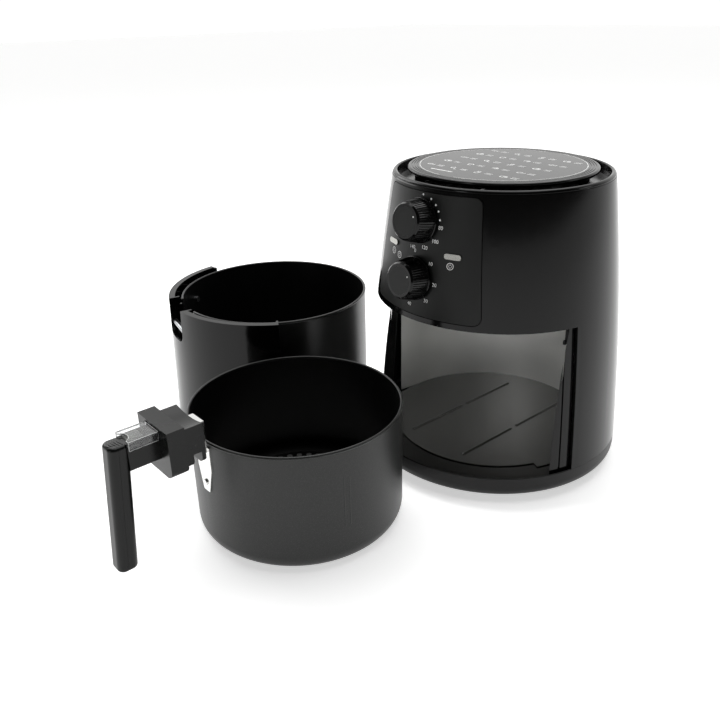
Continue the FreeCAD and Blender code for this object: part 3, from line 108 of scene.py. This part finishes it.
def light_room():
    """A pale room that is brighter behind the object than in front of it."""
    world = bpy.data.worlds.new("room")
    bpy.context.scene.world = world
    world.use_nodes = True
    tree = world.node_tree
    where = add_node(tree, "ShaderNodeTexCoord").outputs["Generated"]
    behind = add_node(tree, "ShaderNodeVectorMath", {0: where, 1: (-0.70, 0.70, 0.1)},
                      operation="DOT_PRODUCT").outputs["Value"]
    ramp = add_node(tree, "ShaderNodeMapRange",
                    {"Value": behind, "From Min": -0.15, "From Max": 0.85,
                     "To Min": 0.06, "To Max": 1.1},
                    interpolation_type="SMOOTHSTEP")
    tree.links.new(ramp.outputs["Result"], tree.nodes["Background"].inputs["Strength"])
    tree.nodes["Background"].inputs["Color"].default_value = srgb("#fbfbfa")


def light_cavity():
    """A small soft light under the lintel, which brightens the liner behind it."""
    light = bpy.data.objects.new("light_cavity", bpy.data.lights.new("light_cavity", "AREA"))
    light.data.energy, light.data.size = 0.25, 0.09
    light.matrix_world = (Matrix.Translation((0.095, 0.062, 0.172))
                          @ Matrix.Rotation(math.radians(38), 4, "X"))
    bpy.context.collection.objects.link(light)


def make_table():
    """A wide white top just under the object."""
    material, tree, shader = new_material("matt white table laminate", Roughness=0.75)
    shader.inputs["Base Color"].default_value = srgb("#ffffff")
    shader.inputs["Specular IOR Level"].default_value = 0.2
    shader.inputs["Emission Color"].default_value = srgb("#ffffff")
    shader.inputs["Emission Strength"].default_value = 0.55
    fibre = add_node(tree, "ShaderNodeTexNoise", {"Scale": 900.0, "Detail": 2.0})
    tone = add_node(tree, "ShaderNodeMapRange",
                    {"Value": fibre.outputs["Fac"], "To Min": 0.7, "To Max": 0.8})
    tree.links.new(tone.outputs["Result"], shader.inputs["Roughness"])
    mesh = bpy.data.meshes.new("table_top")
    mesh.from_pydata([(x * TABLE_HALF, y * TABLE_HALF, TABLE_LEVEL)
                      for x, y in ((-1, -1), (1, -1), (1, 1), (-1, 1))], [], [(0, 1, 2, 3)])
    table = bpy.data.objects.new("table_top", mesh)
    mesh.materials.append(material)
    bpy.context.collection.objects.link(table)


place_camera()
light_room()
light_cavity()
make_table()
for light in LIGHTS:
    soft_light(*light)
bpy.context.scene.view_settings.view_transform = "Standard"

# ---- Housing shells ----
# Front shell, rear cover and top ring, moulded in black ABS and polished in the mould.
# The shells snap together along two upright seams; the ring drops in from above.


def paint(material, *names):
    """The material on these CAD nodes."""
    for name in names:
        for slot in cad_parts[name].material_slots:
            slot.material = material


def moulded_plastic(name, code, roughness, grain_mm, depth, coat=0.0):
    """Moulded plastic: even colour, faint waviness, and a grain of a given width."""
    material, tree, shader = new_material(name, Roughness=roughness)
    shader.inputs["IOR"].default_value = 1.34
    shader.inputs["Coat Weight"].default_value = coat
    shader.inputs["Coat Roughness"].default_value = 0.04
    where = add_node(tree, "ShaderNodeTexCoord").outputs["Object"]
    grain = add_node(tree, "ShaderNodeTexNoise",
                     {"Vector": where, "Scale": 1000 / grain_mm, "Detail": 2.0})
    cloud = add_node(tree, "ShaderNodeTexNoise", {"Vector": where, "Scale": 14.0, "Detail": 3.0})
    tone = add_node(tree, "ShaderNodeMapRange",
                    {"Value": cloud.outputs["Fac"], "To Min": roughness * 0.85,
                     "To Max": roughness * 1.2})
    bump = add_node(tree, "ShaderNodeBump",
                    {"Height": grain.outputs["Fac"], "Strength": depth, "Distance": 0.0002})
    mix = add_node(tree, "ShaderNodeMix", {"Factor": cloud.outputs["Fac"]}, data_type="RGBA")
    mix.inputs[6].default_value = srgb(code)
    mix.inputs[7].default_value = tuple(min(1, 1.25 * c) for c in srgb(code))
    tree.links.new(mix.outputs[2], shader.inputs["Base Color"])
    tree.links.new(tone.outputs["Result"], shader.inputs["Roughness"])
    tree.links.new(bump.outputs["Normal"], shader.inputs["Normal"])
    return material


# Polished ABS: deep black with sharp, slightly wavy reflections.
polished_abs = moulded_plastic("polished black ABS", "#030303", 0.13, 6.0, 0.03)
paint(polished_abs, "front_shell", "rear_cover", "top_cover", "floor_plate", "side_jambs")

# ---- Base ----
# The tray closes the body from below and is held by four screws; it has a fine spark texture.
# Rubber feet are pushed into its underside.

# Spark-eroded ABS: soft, greyish reflections without a clear image.
spark_abs = moulded_plastic("spark-textured black ABS", "#101010", 0.38, 0.5, 0.25)
paint(spark_abs, "base_tray")
# Moulded rubber: dull and dark, with hardly any highlight.
rubber = moulded_plastic("moulded black rubber", "#151515", 0.75, 1.0, 0.4)
paint(rubber, "rubber_feet", "cord_inlet")
# Unpolished plastic: an even grey-black without reflections.
plain_plastic = moulded_plastic("unpolished black plastic", "#141414", 0.5, 0.8, 0.2)
paint(plain_plastic, "rear_vent", "cooling_fan", "timer", "drawer_switch", "switch_lever")

# ---- Cooking cavity ----
# A liner of aluminised sheet rolled round the cavity, over a pressed and coated steel floor.
# The heater, its dome and the fan show through the round hole in the ceiling.


def sheet_metal(name, code, roughness, stretch):
    """Rolled sheet: metal with faint lines along one direction and cloudy patches."""
    material, tree, shader = new_material(name, Metallic=1.0)
    where = add_node(tree, "ShaderNodeTexCoord").outputs["Object"]
    lines = add_node(tree, "ShaderNodeMapping", {"Vector": where, "Scale": stretch})
    brush = add_node(tree, "ShaderNodeTexNoise",
                     {"Vector": lines.outputs["Vector"], "Scale": 900.0, "Detail": 3.0})
    cloud = add_node(tree, "ShaderNodeTexNoise", {"Vector": where, "Scale": 18.0, "Detail": 4.0})
    tone = add_node(tree, "ShaderNodeMapRange",
                    {"Value": cloud.outputs["Fac"], "To Min": roughness * 0.8,
                     "To Max": roughness * 1.25})
    bump = add_node(tree, "ShaderNodeBump",
                    {"Height": brush.outputs["Fac"], "Strength": 0.15, "Distance": 0.0002})
    mix = add_node(tree, "ShaderNodeMix", {"Factor": cloud.outputs["Fac"]}, data_type="RGBA")
    mix.inputs[6].default_value = tuple(0.82 * c for c in srgb(code)[:3]) + (1.0,)
    mix.inputs[7].default_value = srgb(code)
    tree.links.new(mix.outputs[2], shader.inputs["Base Color"])
    tree.links.new(tone.outputs["Result"], shader.inputs["Roughness"])
    tree.links.new(bump.outputs["Normal"], shader.inputs["Normal"])
    return material


# Aluminised sheet: pale grey metal, cloudy, with faint upright rolling lines.
aluminised = sheet_metal("aluminised steel sheet", "#dededb", 0.5, (1.0, 1.0, 0.02))
paint(aluminised, "cavity_liner", "cavity_ceiling", "heat_dome", "heat_shield", "convection_fan")
# Zinc-plated steel: small cool highlights on pins, screws and frames.
zinc_plated = sheet_metal("zinc-plated steel", "#b6b8ba", 0.3, (1.0, 1.0, 1.0))
paint(zinc_plated, "base_screws", "element_clips", "fan_shaft", "motor_rotor", "motor_core",
      "motor_bearings", "motor_screws", "motor_spacers", "temperature_shaft", "thermostat",
      "timer_shaft", "timer_bell", "cover_screws", "catch_pin", "handle_screws",
      "button_spring", "latch_hook", "latch_pin")
# Heater sheath: dark metal, browned by heat.
oxidised = sheet_metal("oxidised heater sheath", "#4c4a46", 0.45, (1.0, 1.0, 1.0))
paint(oxidised, "heating_element")
# Enamelled copper wire: warm red-brown metal.
copper = sheet_metal("enamelled copper wire", "#b5652f", 0.35, (0.05, 1.0, 1.0))
paint(copper, "motor_coil")


def coated_steel(name, code, roughness, speckle, painted_inner_shade=None, centre=(0, 0), radius=0.0):
    """Non-stick coating: dark paint over blasted steel, speckled; painted shade within a radius."""
    material, tree, shader = new_material(name, Metallic=0.0)
    shader.inputs["IOR"].default_value = 1.45
    where = add_node(tree, "ShaderNodeTexCoord").outputs["Object"]
    # Real specks are about 0.2 mm wide; they are drawn at 0.6 mm so that they show.
    specks = add_node(tree, "ShaderNodeTexNoise",
                      {"Vector": where, "Scale": 1500.0, "Detail": 2.0, "Roughness": 0.7})
    spots = add_node(tree, "ShaderNodeMapRange",
                     {"Value": specks.outputs["Fac"], "From Min": 0.5, "From Max": 0.75})
    mix = add_node(tree, "ShaderNodeMix", {"Factor": spots.outputs["Result"]}, data_type="RGBA")
    mix.inputs[6].default_value = srgb(code)
    mix.inputs[7].default_value = srgb(speckle)
    bump = add_node(tree, "ShaderNodeBump",
                    {"Height": specks.outputs["Fac"], "Strength": 0.3, "Distance": 0.0002})
    colour = mix.outputs[2]
    # Painted shade: within the radius round the centre, the colour becomes the dark shade colour.
    if painted_inner_shade:
        flat = add_node(tree, "ShaderNodeVectorMath", {0: where, 1: (1, 1, 0)},
                        operation="MULTIPLY")
        away = add_node(tree, "ShaderNodeVectorMath",
                        {0: flat.outputs["Vector"], 1: (*centre, 0)}, operation="DISTANCE")
        outer = add_node(tree, "ShaderNodeMath", {0: away.outputs["Value"], 1: radius},
                         operation="GREATER_THAN")
        sides = add_node(tree, "ShaderNodeMix", {"Factor": outer.outputs["Value"]},
                         data_type="RGBA")
        sides.inputs[6].default_value = srgb(painted_inner_shade)
        tree.links.new(colour, sides.inputs[7])
        colour = sides.outputs[2]
    tree.links.new(colour, shader.inputs["Base Color"])
    tree.links.new(bump.outputs["Normal"], shader.inputs["Normal"])
    shader.inputs["Roughness"].default_value = roughness
    return material


# Thin gloss over black: soft pale reflections on the flat and bright lines along the runners.
floor_coat = coated_steel("black floor enamel", "#222221", 0.26, "#30302f")
paint(floor_coat, "cavity_floor")
# Ceramic: a small off-white body.
ceramic = moulded_plastic("white ceramic", "#d8d5cc", 0.5, 1.0, 0.1)
paint(ceramic, "thermal_fuse")

# ---- Lid plate ----
# A raised round plate of the same polished ABS, pressed onto four bosses of the top ring.
# A ring and rows of small food pictograms are screen-printed on it in white.
paint(polished_abs, "top_lid")
HOUSING = Vector((0.1126189, 0.1517392, 0))
LID_TOP = 0.3135
RING_RADIUS = 0.083
LID_INK = 0.00004


def ribbon(points, width, closed=False):
    """A flat stroke of even width along points, as corners and faces in the plane."""
    corners, faces, count = [], [], len(points)
    for n, (x, y) in enumerate(points):
        before = points[n - 1] if closed or n else points[n]
        after = points[(n + 1) % count] if closed or n + 1 < count else points[n]
        along = Vector((after[0] - before[0], after[1] - before[1])).normalized() * width / 2
        corners += [(x + along.y, y - along.x), (x - along.y, y + along.x)]
    for n in range(count if closed else count - 1):
        a, b = 2 * n, 2 * ((n + 1) % count)
        faces.append((a, b, b + 1, a + 1))
    return corners, faces


def bow(x, y, rx, ry, start=0, end=360, steps=20):
    """Points along part of an ellipse."""
    angles = [math.radians(start + (end - start) * n / steps) for n in range(steps + 1)]
    return [(x + rx * math.cos(a), y + ry * math.sin(a)) for a in angles]


def finish_piece(name, mesh, body, slot, *materials):
    """An object at the origin that moves with a body."""
    for material in materials:
        mesh.materials.append(material)
    piece = bpy.data.objects.new(name, mesh)
    bpy.context.collection.objects.link(piece)
    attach(piece, body)
    return piece


def printed(name, strokes, place, body, slot, ink):
    """Flat strokes carried onto a surface by a function of their plane coordinates."""
    corners, faces = [], []
    for stroke_corners, stroke_faces in strokes:
        first = len(corners)
        corners += [place(x, y) for x, y in stroke_corners]
        faces += [tuple(first + n for n in face) for face in stroke_faces]
    mesh = bpy.data.meshes.new(name)
    mesh.from_pydata(corners, [], faces)
    return finish_piece(name, mesh, body, slot, ink)


# A fish, a drumstick, a packet of fries, a steak, a muffin and a prawn, each in a unit square.
PICTOGRAMS = (
    [bow(-0.15, 0, 0.6, 0.35), [(0.45, 0), (0.9, 0.35), (0.9, -0.35), (0.45, 0)]],
    [bow(-0.3, 0.2, 0.45, 0.4), [(0.05, -0.05), (0.7, -0.6)], bow(0.78, -0.68, 0.14, 0.14)],
    [[(-0.5, 0), (-0.35, -0.8), (0.35, -0.8), (0.5, 0), (-0.5, 0)], [(-0.3, 0), (-0.35, 0.7)],
     [(0, 0), (0, 0.8)], [(0.3, 0), (0.35, 0.7)]],
    [bow(0, 0, 0.75, 0.5), bow(0.25, 0.05, 0.2, 0.15)],
    [[(-0.45, 0), (-0.3, -0.7), (0.3, -0.7), (0.45, 0)], bow(0, 0, 0.6, 0.55, 0, 180)],
    [bow(0, 0, 0.6, 0.6, -60, 200), bow(0.1, -0.1, 0.3, 0.3, -60, 180)])


def lid_strokes():
    """The broken ring, the pictograms in rows, and a plain bar beside each of them."""
    strokes = []
    for start in (-84, 96):
        strokes.append(ribbon(bow(0, 0, RING_RADIUS, RING_RADIUS, start, start + 168, 90),
                              0.0007))
    for row in range(5):
        for column in range(4):
            x, y = 0.031 * (column - 1.65), 0.025 * (row - 2)
            if math.hypot(x + 0.004, y) > 0.070:
                continue
            for line in PICTOGRAMS[(row * 3 + column) % 6]:
                strokes.append(ribbon([(x + 0.0052 * a, y + 0.0052 * b) for a, b in line],
                                      0.0012))
            for drop in (0.0018, -0.0014):
                strokes.append(ribbon([(x + 0.009, y + drop), (x + 0.017, y + drop)], 0.0011))
    strokes.append(ribbon([(-0.036, -0.066), (-0.008, -0.066)], 0.0024))
    return strokes


# Screen ink: flat, slightly off-white, without gloss.
white_ink = moulded_plastic("white screen-printing ink", "#f2f3f1", 0.5, 0.4, 0.05)
printed("lid_print", lid_strokes(),
        lambda x, y: (HOUSING.x + x, HOUSING.y + y, LID_TOP + LID_INK),
        "housing", "gloss_black", white_ink)

# ---- Control panel ----
# A satin insert clipped into the front shell, with two printed dials and two symbols.
# The metallised lenses are pushed through it from inside.

# Satin ABS: softer and greyer than the shell round it.
panel_abs = moulded_plastic("satin black ABS", "#111211", 0.36, 0.6, 0.12)
paint(panel_abs, "control_panel")
# Vacuum-metallised plastic: a small bright mirror.
lens_silver = sheet_metal("metallised lens", "#a9a9a4", 0.22, (1.0, 1.0, 1.0))
paint(lens_silver, "indicator_lenses")
# Neon glass: a warm orange behind the lens.
amber = moulded_plastic("amber neon glass", "#c06a2a", 0.2, 5.0, 0.02)
paint(amber, "indicator_lamps")


def surface_of(name):
    """A search tree over the faces of one node."""
    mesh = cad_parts[name].data
    return BVHTree.FromPolygons([v.co for v in mesh.vertices],
                                [p.vertices for p in mesh.polygons])


PANEL_INK = 0.00006
panel_faces = surface_of("control_panel")


def on_panel(x, z):
    """The point on the panel straight behind a point in front of it, raised by the ink."""
    hit, normal, _, _ = panel_faces.ray_cast(Vector((HOUSING.x + x, -0.3, z)),
                                             Vector((0, 1, 0)))
    if hit is None:
        hit, normal, _, _ = panel_faces.find_nearest(
            Vector((HOUSING.x + x, HOUSING.y - 0.12, z)))
    return hit - Vector((0, PANEL_INK, 0)) if normal.y < 0 else hit + normal * PANEL_INK


def lettering(text, size):
    """The faces of a number, centred, in the plane."""
    curve = bpy.data.curves.new("number", "FONT")
    curve.body, curve.size, curve.align_x, curve.align_y = text, size, "CENTER", "CENTER"
    curve.resolution_u = 3
    carrier = bpy.data.objects.new("number", curve)
    bpy.context.collection.objects.link(carrier)
    shape = carrier.evaluated_get(bpy.context.evaluated_depsgraph_get())
    mesh = bpy.data.meshes.new_from_object(shape)
    corners = [(v.co.x, v.co.y) for v in mesh.vertices]
    faces = [tuple(p.vertices) for p in mesh.polygons]
    bpy.data.objects.remove(carrier)
    return corners, faces


def shifted(stroke, x, y):
    """A stroke moved in its plane."""
    return [(a + x, b + y) for a, b in stroke[0]], stroke[1]


def dot(x, y, radius):
    """A filled circle, as a fan of triangles."""
    return [(x, y)] + bow(x, y, radius, radius, 0, 360, 12), [(0, n, n + 1) for n in range(1, 13)]


# Heights of both shafts; the dots and numbers are placed from them, in millimetres.
UPPER_AXIS, LOWER_AXIS = 0.277, 0.222
UPPER_DOTS = ((-0.8, 23.7), (9.3, 20.9), (15.3, 16.3), (19.1, 10.9), (21.6, 3.4))
UPPER_NUMBERS = (("80", 23.4, -3.6), ("100", 19.1, -16.7), ("120", 7.8, -24.3),
                 ("140", -8.0, -26.3), ("160", -19.5, -18.5), ("180", -25.0, -5.5),
                 ("200", -23.5, 8.0))
LOWER_NUMBERS = (("0", -3.6, 25.7), ("10", 16.7, 16.8), ("20", 23.4, -2.2), ("30", 15.6, -19.4),
                 ("40", -4.8, -26.7), ("50", -19.0, -18.0), ("60", -24.5, -3.0))


def panel_strokes():
    """Dots and numbers round both dials, and the round symbols beside them."""
    strokes = [dot(x / 1000, UPPER_AXIS + z / 1000, 0.0010) for x, z in UPPER_DOTS]
    for axis, numbers in ((UPPER_AXIS, UPPER_NUMBERS), (LOWER_AXIS, LOWER_NUMBERS)):
        for text, x, z in numbers:
            strokes.append(shifted(lettering(text, 0.0050), x / 1000, axis + z / 1000))
    for x, z in ((-0.027, LOWER_AXIS + 0.0163), (0.0372, 0.2400), (-0.0380, 0.2400)):
        strokes.append(ribbon(bow(x, z, 0.0031, 0.0031, steps=28), 0.0006))
        diamond = [(x, z + 0.0018), (x - 0.0018, z), (x, z - 0.0018), (x + 0.0018, z)]
        strokes.append(ribbon(diamond, 0.0005, True))
    return strokes


printed("panel_print", panel_strokes(), on_panel, "housing", "panel_black", white_ink)

# ---- Knobs ----
# Two moulded knobs pushed onto the shafts of thermostat and timer, each with a pressed-in cap.
# Fine ribs run round the tapered side, and a white pointer is inlaid at the edge of the cap.
paint(polished_abs, "temperature_knob", "timer_knob")
paint(panel_abs, "temperature_knob_cap", "timer_knob_cap")


def repeat_round(name, element, count, radius, material):
    """Copies of a small mesh at even steps round the Z axis, as one plain mesh."""
    tree = bpy.data.node_groups.new("repeat round", "GeometryNodeTree")
    face = tree.interface
    face.new_socket(name="Geometry", in_out="INPUT", socket_type="NodeSocketGeometry")
    face.new_socket(name="Geometry", in_out="OUTPUT", socket_type="NodeSocketGeometry")
    count_id = face.new_socket(name="Count", in_out="INPUT",
                               socket_type="NodeSocketInt").identifier
    radius_id = face.new_socket(name="Radius", in_out="INPUT",
                                socket_type="NodeSocketFloat").identifier
    given = add_node(tree, "NodeGroupInput").outputs
    circle = add_node(tree, "GeometryNodeMeshCircle",
                      {"Vertices": given["Count"], "Radius": given["Radius"]})
    where = add_node(tree, "GeometryNodeInputPosition").outputs["Position"]
    turn = add_node(tree, "FunctionNodeAlignRotationToVector", {"Vector": where},
                    axis="X", pivot_axis="Z").outputs["Rotation"]
    copies = add_node(tree, "GeometryNodeInstanceOnPoints",
                      {"Points": circle.outputs["Mesh"], "Instance": given["Geometry"],
                       "Rotation": turn}).outputs["Instances"]
    real = add_node(tree, "GeometryNodeRealizeInstances", {"Geometry": copies}).outputs["Geometry"]
    done = add_node(tree, "GeometryNodeSetMaterial", {"Geometry": real, "Material": material})
    add_node(tree, "NodeGroupOutput", {"Geometry": done.outputs["Geometry"]})
    carrier = bpy.data.objects.new(name, element)
    bpy.context.collection.objects.link(carrier)
    modifier = carrier.modifiers.new("repeat", "NODES")
    modifier.node_group = tree
    modifier[count_id], modifier[radius_id] = count, radius
    shape = carrier.evaluated_get(bpy.context.evaluated_depsgraph_get())
    mesh = bpy.data.meshes.new_from_object(shape)
    mesh.name = name
    bpy.data.objects.remove(carrier)
    return mesh


def lofted(name, sections):
    """A closed mesh through sections of equal length, capped at both ends."""
    count = len(sections[0])
    corners = [corner for section in sections for corner in section]
    faces = [tuple(range(count)), tuple(range(len(corners) - count, len(corners)))]
    for s in range(len(sections) - 1):
        for n in range(count):
            a, b = s * count + n, s * count + (n + 1) % count
            faces.append((a, b, b + count, a + count))
    mesh = bpy.data.meshes.new(name)
    mesh.from_pydata(corners, [], faces)
    work = bmesh.new()
    work.from_mesh(mesh)
    bmesh.ops.recalc_face_normals(work, faces=work.faces)
    work.to_mesh(mesh)
    work.free()
    return mesh


RIB_CIRCLE = 0.019
RIB_COUNT = 52
POINTER_REACH = 0.0119
POINTER_LEVEL = 0.02204


def knob_rib():
    """One rib, thin and rounded, along the taper of the knob."""
    sections = []
    for z, radius in ((0.0030, 0.0204), (0.0035, 0.0207), (0.0195, 0.0180), (0.0200, 0.0176)):
        out = radius - RIB_CIRCLE
        sections.append([(out - 0.0004, -0.00045, z), (out + 0.0001, -0.0003, z),
                         (out + 0.0003, 0, z), (out + 0.0001, 0.0003, z),
                         (out - 0.0004, 0.00045, z)])
    return lofted("knob_rib", sections)


def knob_matrix(place, lean):
    """From a frame whose Z axis leaves the panel to the frame of the object."""
    rise = math.sqrt(1 - lean**2)
    up, out = Vector((0, lean, rise)), Vector((0, -rise, lean))
    return Matrix.Translation(place) @ Matrix(
        [(1, up.x, out.x, 0), (0, up.y, out.y, 0), (0, up.z, out.z, 0), (0, 0, 0, 1)])


for body, name, place, lean in (
        ("temperature_control", "temperature", (HOUSING.x, 0.0364137, UPPER_AXIS), 0.138921802),
        ("timer_control", "timer", (HOUSING.x, 0.0292408, LOWER_AXIS), 0.119705425)):
    matrix = knob_matrix(place, lean)
    ribs = repeat_round(name + "_knob_ribs", knob_rib(), RIB_COUNT, RIB_CIRCLE, polished_abs)
    ribs.transform(matrix)
    finish_piece(name + "_knob_ribs", ribs, body, "gloss_black")
    x, y = POINTER_REACH * math.cos(0.5), POINTER_REACH * math.sin(0.5)
    printed(name + "_pointer", [dot(x, y, 0.0008)],
            lambda u, v: matrix @ Vector((u, v, POINTER_LEVEL)), body, "satin_black", white_ink)

# ---- Pan ----
# Deep-drawn steel with a rolled rim and a non-stick coating.
# It is screwed to its hollow front cover, which is polished like the housing.

# Non-stick over black: a broad, soft gloss down the round wall.
pan_coat = coated_steel("satin black non-stick", "#0b0b0b", 0.3, "#161616")
paint(pan_coat, "pan_shell")
paint(polished_abs, "drawer_front")

# ---- Basket ----
# A lighter pan with a raised perforated floor; its coating is charcoal, and painted shade makes it
# black inside.
# The chromed bracket is screwed to the wall and carries the handle on a short channel.
BASKET = Vector((0.0797225, -0.0967931, 0))
BASKET_WALL = 0.1013
# Within this radius round the basket's axis, the coating carries the black painted shade.
INNER_SHADE_RADIUS = 0.1008

# Speckled charcoal with a soft grey sheen outside; inside the wall, a deep black painted shade.
basket_coat = coated_steel("charcoal non-stick with painted inner shade", "#191a19", 0.38, "#383937", "#040404",
                           (BASKET.x, BASKET.y), INNER_SHADE_RADIUS)
paint(basket_coat, "basket_shell")


def joined(name, meshes):
    """Several meshes as one."""
    work = bmesh.new()
    for mesh in meshes:
        work.from_mesh(mesh)
    whole = bpy.data.meshes.new(name)
    work.to_mesh(whole)
    work.free()
    return whole


def wall_beads():
    """Two pairs of upright beads pressed outward in the wall, one on either side."""
    bars = []
    for azimuth in (-79.5, -76.5, 76.5, 79.5):
        a = math.radians(azimuth)
        out, side = Vector((math.sin(a), -math.cos(a), 0)), Vector((math.cos(a), math.sin(a), 0))
        sections = []
        for z, height in ((0.040, 0.0), (0.044, 0.0004), (0.092, 0.0004), (0.096, 0.0)):
            sections.append([BASKET + (BASKET_WALL + rise * height) * out
                             + 0.0009 * across * side + Vector((0, 0, z)) for across, rise in
                             ((-1, 0), (-0.5, 1), (0, 1.4), (0.5, 1), (1, 0))])
        bars.append(lofted("bead", sections))
    return joined("wall_beads", bars)


finish_piece("wall_beads", wall_beads(), "basket", "coated_steel", basket_coat)
# Chrome: a bright, clean mirror against the dark wall.
chrome = sheet_metal("polished chrome steel", "#eeeeec", 0.14, (1.0, 1.0, 1.0))
paint(chrome, "bracket_plate", "bracket_screws")

# ---- Handle ----
# Two nylon mouldings screwed together along the grip; a flange closes the notch of the pan.
# A clear guard slides on the arm over the grey release button.

# Nylon: satin, with broad soft highlights along the rounded edges.
handle_abs = moulded_plastic("satin black handle nylon", "#070807", 0.28, 0.7, 0.1)
paint(handle_abs, "handle_body", "handle_front", "handle_flange", "handle_block")
# Grey ABS: a mid-grey, matt button under the clear guard.
grey_abs = moulded_plastic("grey satin ABS", "#6c6d6a", 0.4, 0.8, 0.12)
paint(grey_abs, "release_button")


def tube(points, radius, sides=8):
    """A thin round bar along points, as sections for lofting."""
    sections = []
    for n, point in enumerate(points):
        before = Vector(points[max(n - 1, 0)])
        after = Vector(points[min(n + 1, len(points) - 1)])
        along = (after - before).normalized()
        side = along.orthogonal().normalized()
        other = along.cross(side)
        sections.append([Vector(point) + radius * (math.cos(a) * side + math.sin(a) * other)
                         for a in [2 * math.pi * k / sides for k in range(sides)]])
    return sections


def grip_ridges():
    """Five raised bows across the rounded top of the grip."""
    bars = []
    for n in range(5):
        y = -0.1738 - 0.0025 * n
        half = 0.0072 - 0.0007 * n
        points = [BASKET + Vector((half * t, y - 0.0014 * (1 - t * t), 0.1485 - 0.0004 * t * t))
                  for t in [k / 8 - 1 for k in range(17)]]
        bars.append(lofted("ridge", tube(points, 0.0005)))
    return joined("grip_ridges", bars)


finish_piece("grip_ridges", grip_ridges(), "basket", "satin_black", handle_abs)

# Polycarbonate: nearly invisible where flat; its edges get bright painted highlights on separate
# bars.
clear, clear_tree, clear_shader = new_material("clear polycarbonate", Roughness=0.06)
clear_shader.inputs["Base Color"].default_value = srgb("#fafbfb")
clear_shader.inputs["Transmission Weight"].default_value = 1.0
clear_shader.inputs["IOR"].default_value = 1.5
ripple = add_node(clear_tree, "ShaderNodeTexNoise",
                  {"Vector": add_node(clear_tree, "ShaderNodeTexCoord").outputs["Object"],
                   "Scale": 60.0, "Detail": 1.0})
ripple_bump = add_node(clear_tree, "ShaderNodeBump",
                       {"Height": ripple.outputs["Fac"], "Strength": 0.01, "Distance": 0.0002})
clear_tree.links.new(ripple_bump.outputs["Normal"], clear_shader.inputs["Normal"])
paint(clear, "slide_guard")
# Painted highlight along the edges of the polycarbonate guard: bright white lines.
edge_highlight = moulded_plastic("painted edge highlight on polycarbonate", "#e9ebea", 0.3, 0.6, 0.05)


def guard_edges():
    """Bars of painted highlight on the edges of the guard: along both skirts, and round the bay for
    the thumb.
    """
    x, low, high = 0.0115, 0.1431, 0.1510
    outer, inner = -0.1714, -0.1456
    bay, bay_middle = 0.0090, -0.1755
    bars = []
    for side in (-x, x):
        bars.append([(side, outer, low), (side, inner, low)])
        bars.append([(side, outer, low), (side, outer, high)])
        bars.append([(side, outer, high), (side, inner, high)])
    bars.append([(-x, inner, high), (x, inner, high)])
    bars += [[(-x, outer, high), (-0.0085, outer, high)], [(x, outer, high), (0.0085, outer, high)]]
    bars.append([(bay * math.cos(a), bay_middle + bay * math.sin(a), high)
                 for a in [math.radians(27 + 126 * k / 16) for k in range(17)]])
    meshes = [lofted("edge", tube([BASKET + Vector(p) for p in bar], 0.00028)) for bar in bars]
    return joined("guard_edges", meshes)


finish_piece("guard_edges", guard_edges(), "slide_guard", "clear_plastic", edge_highlight)
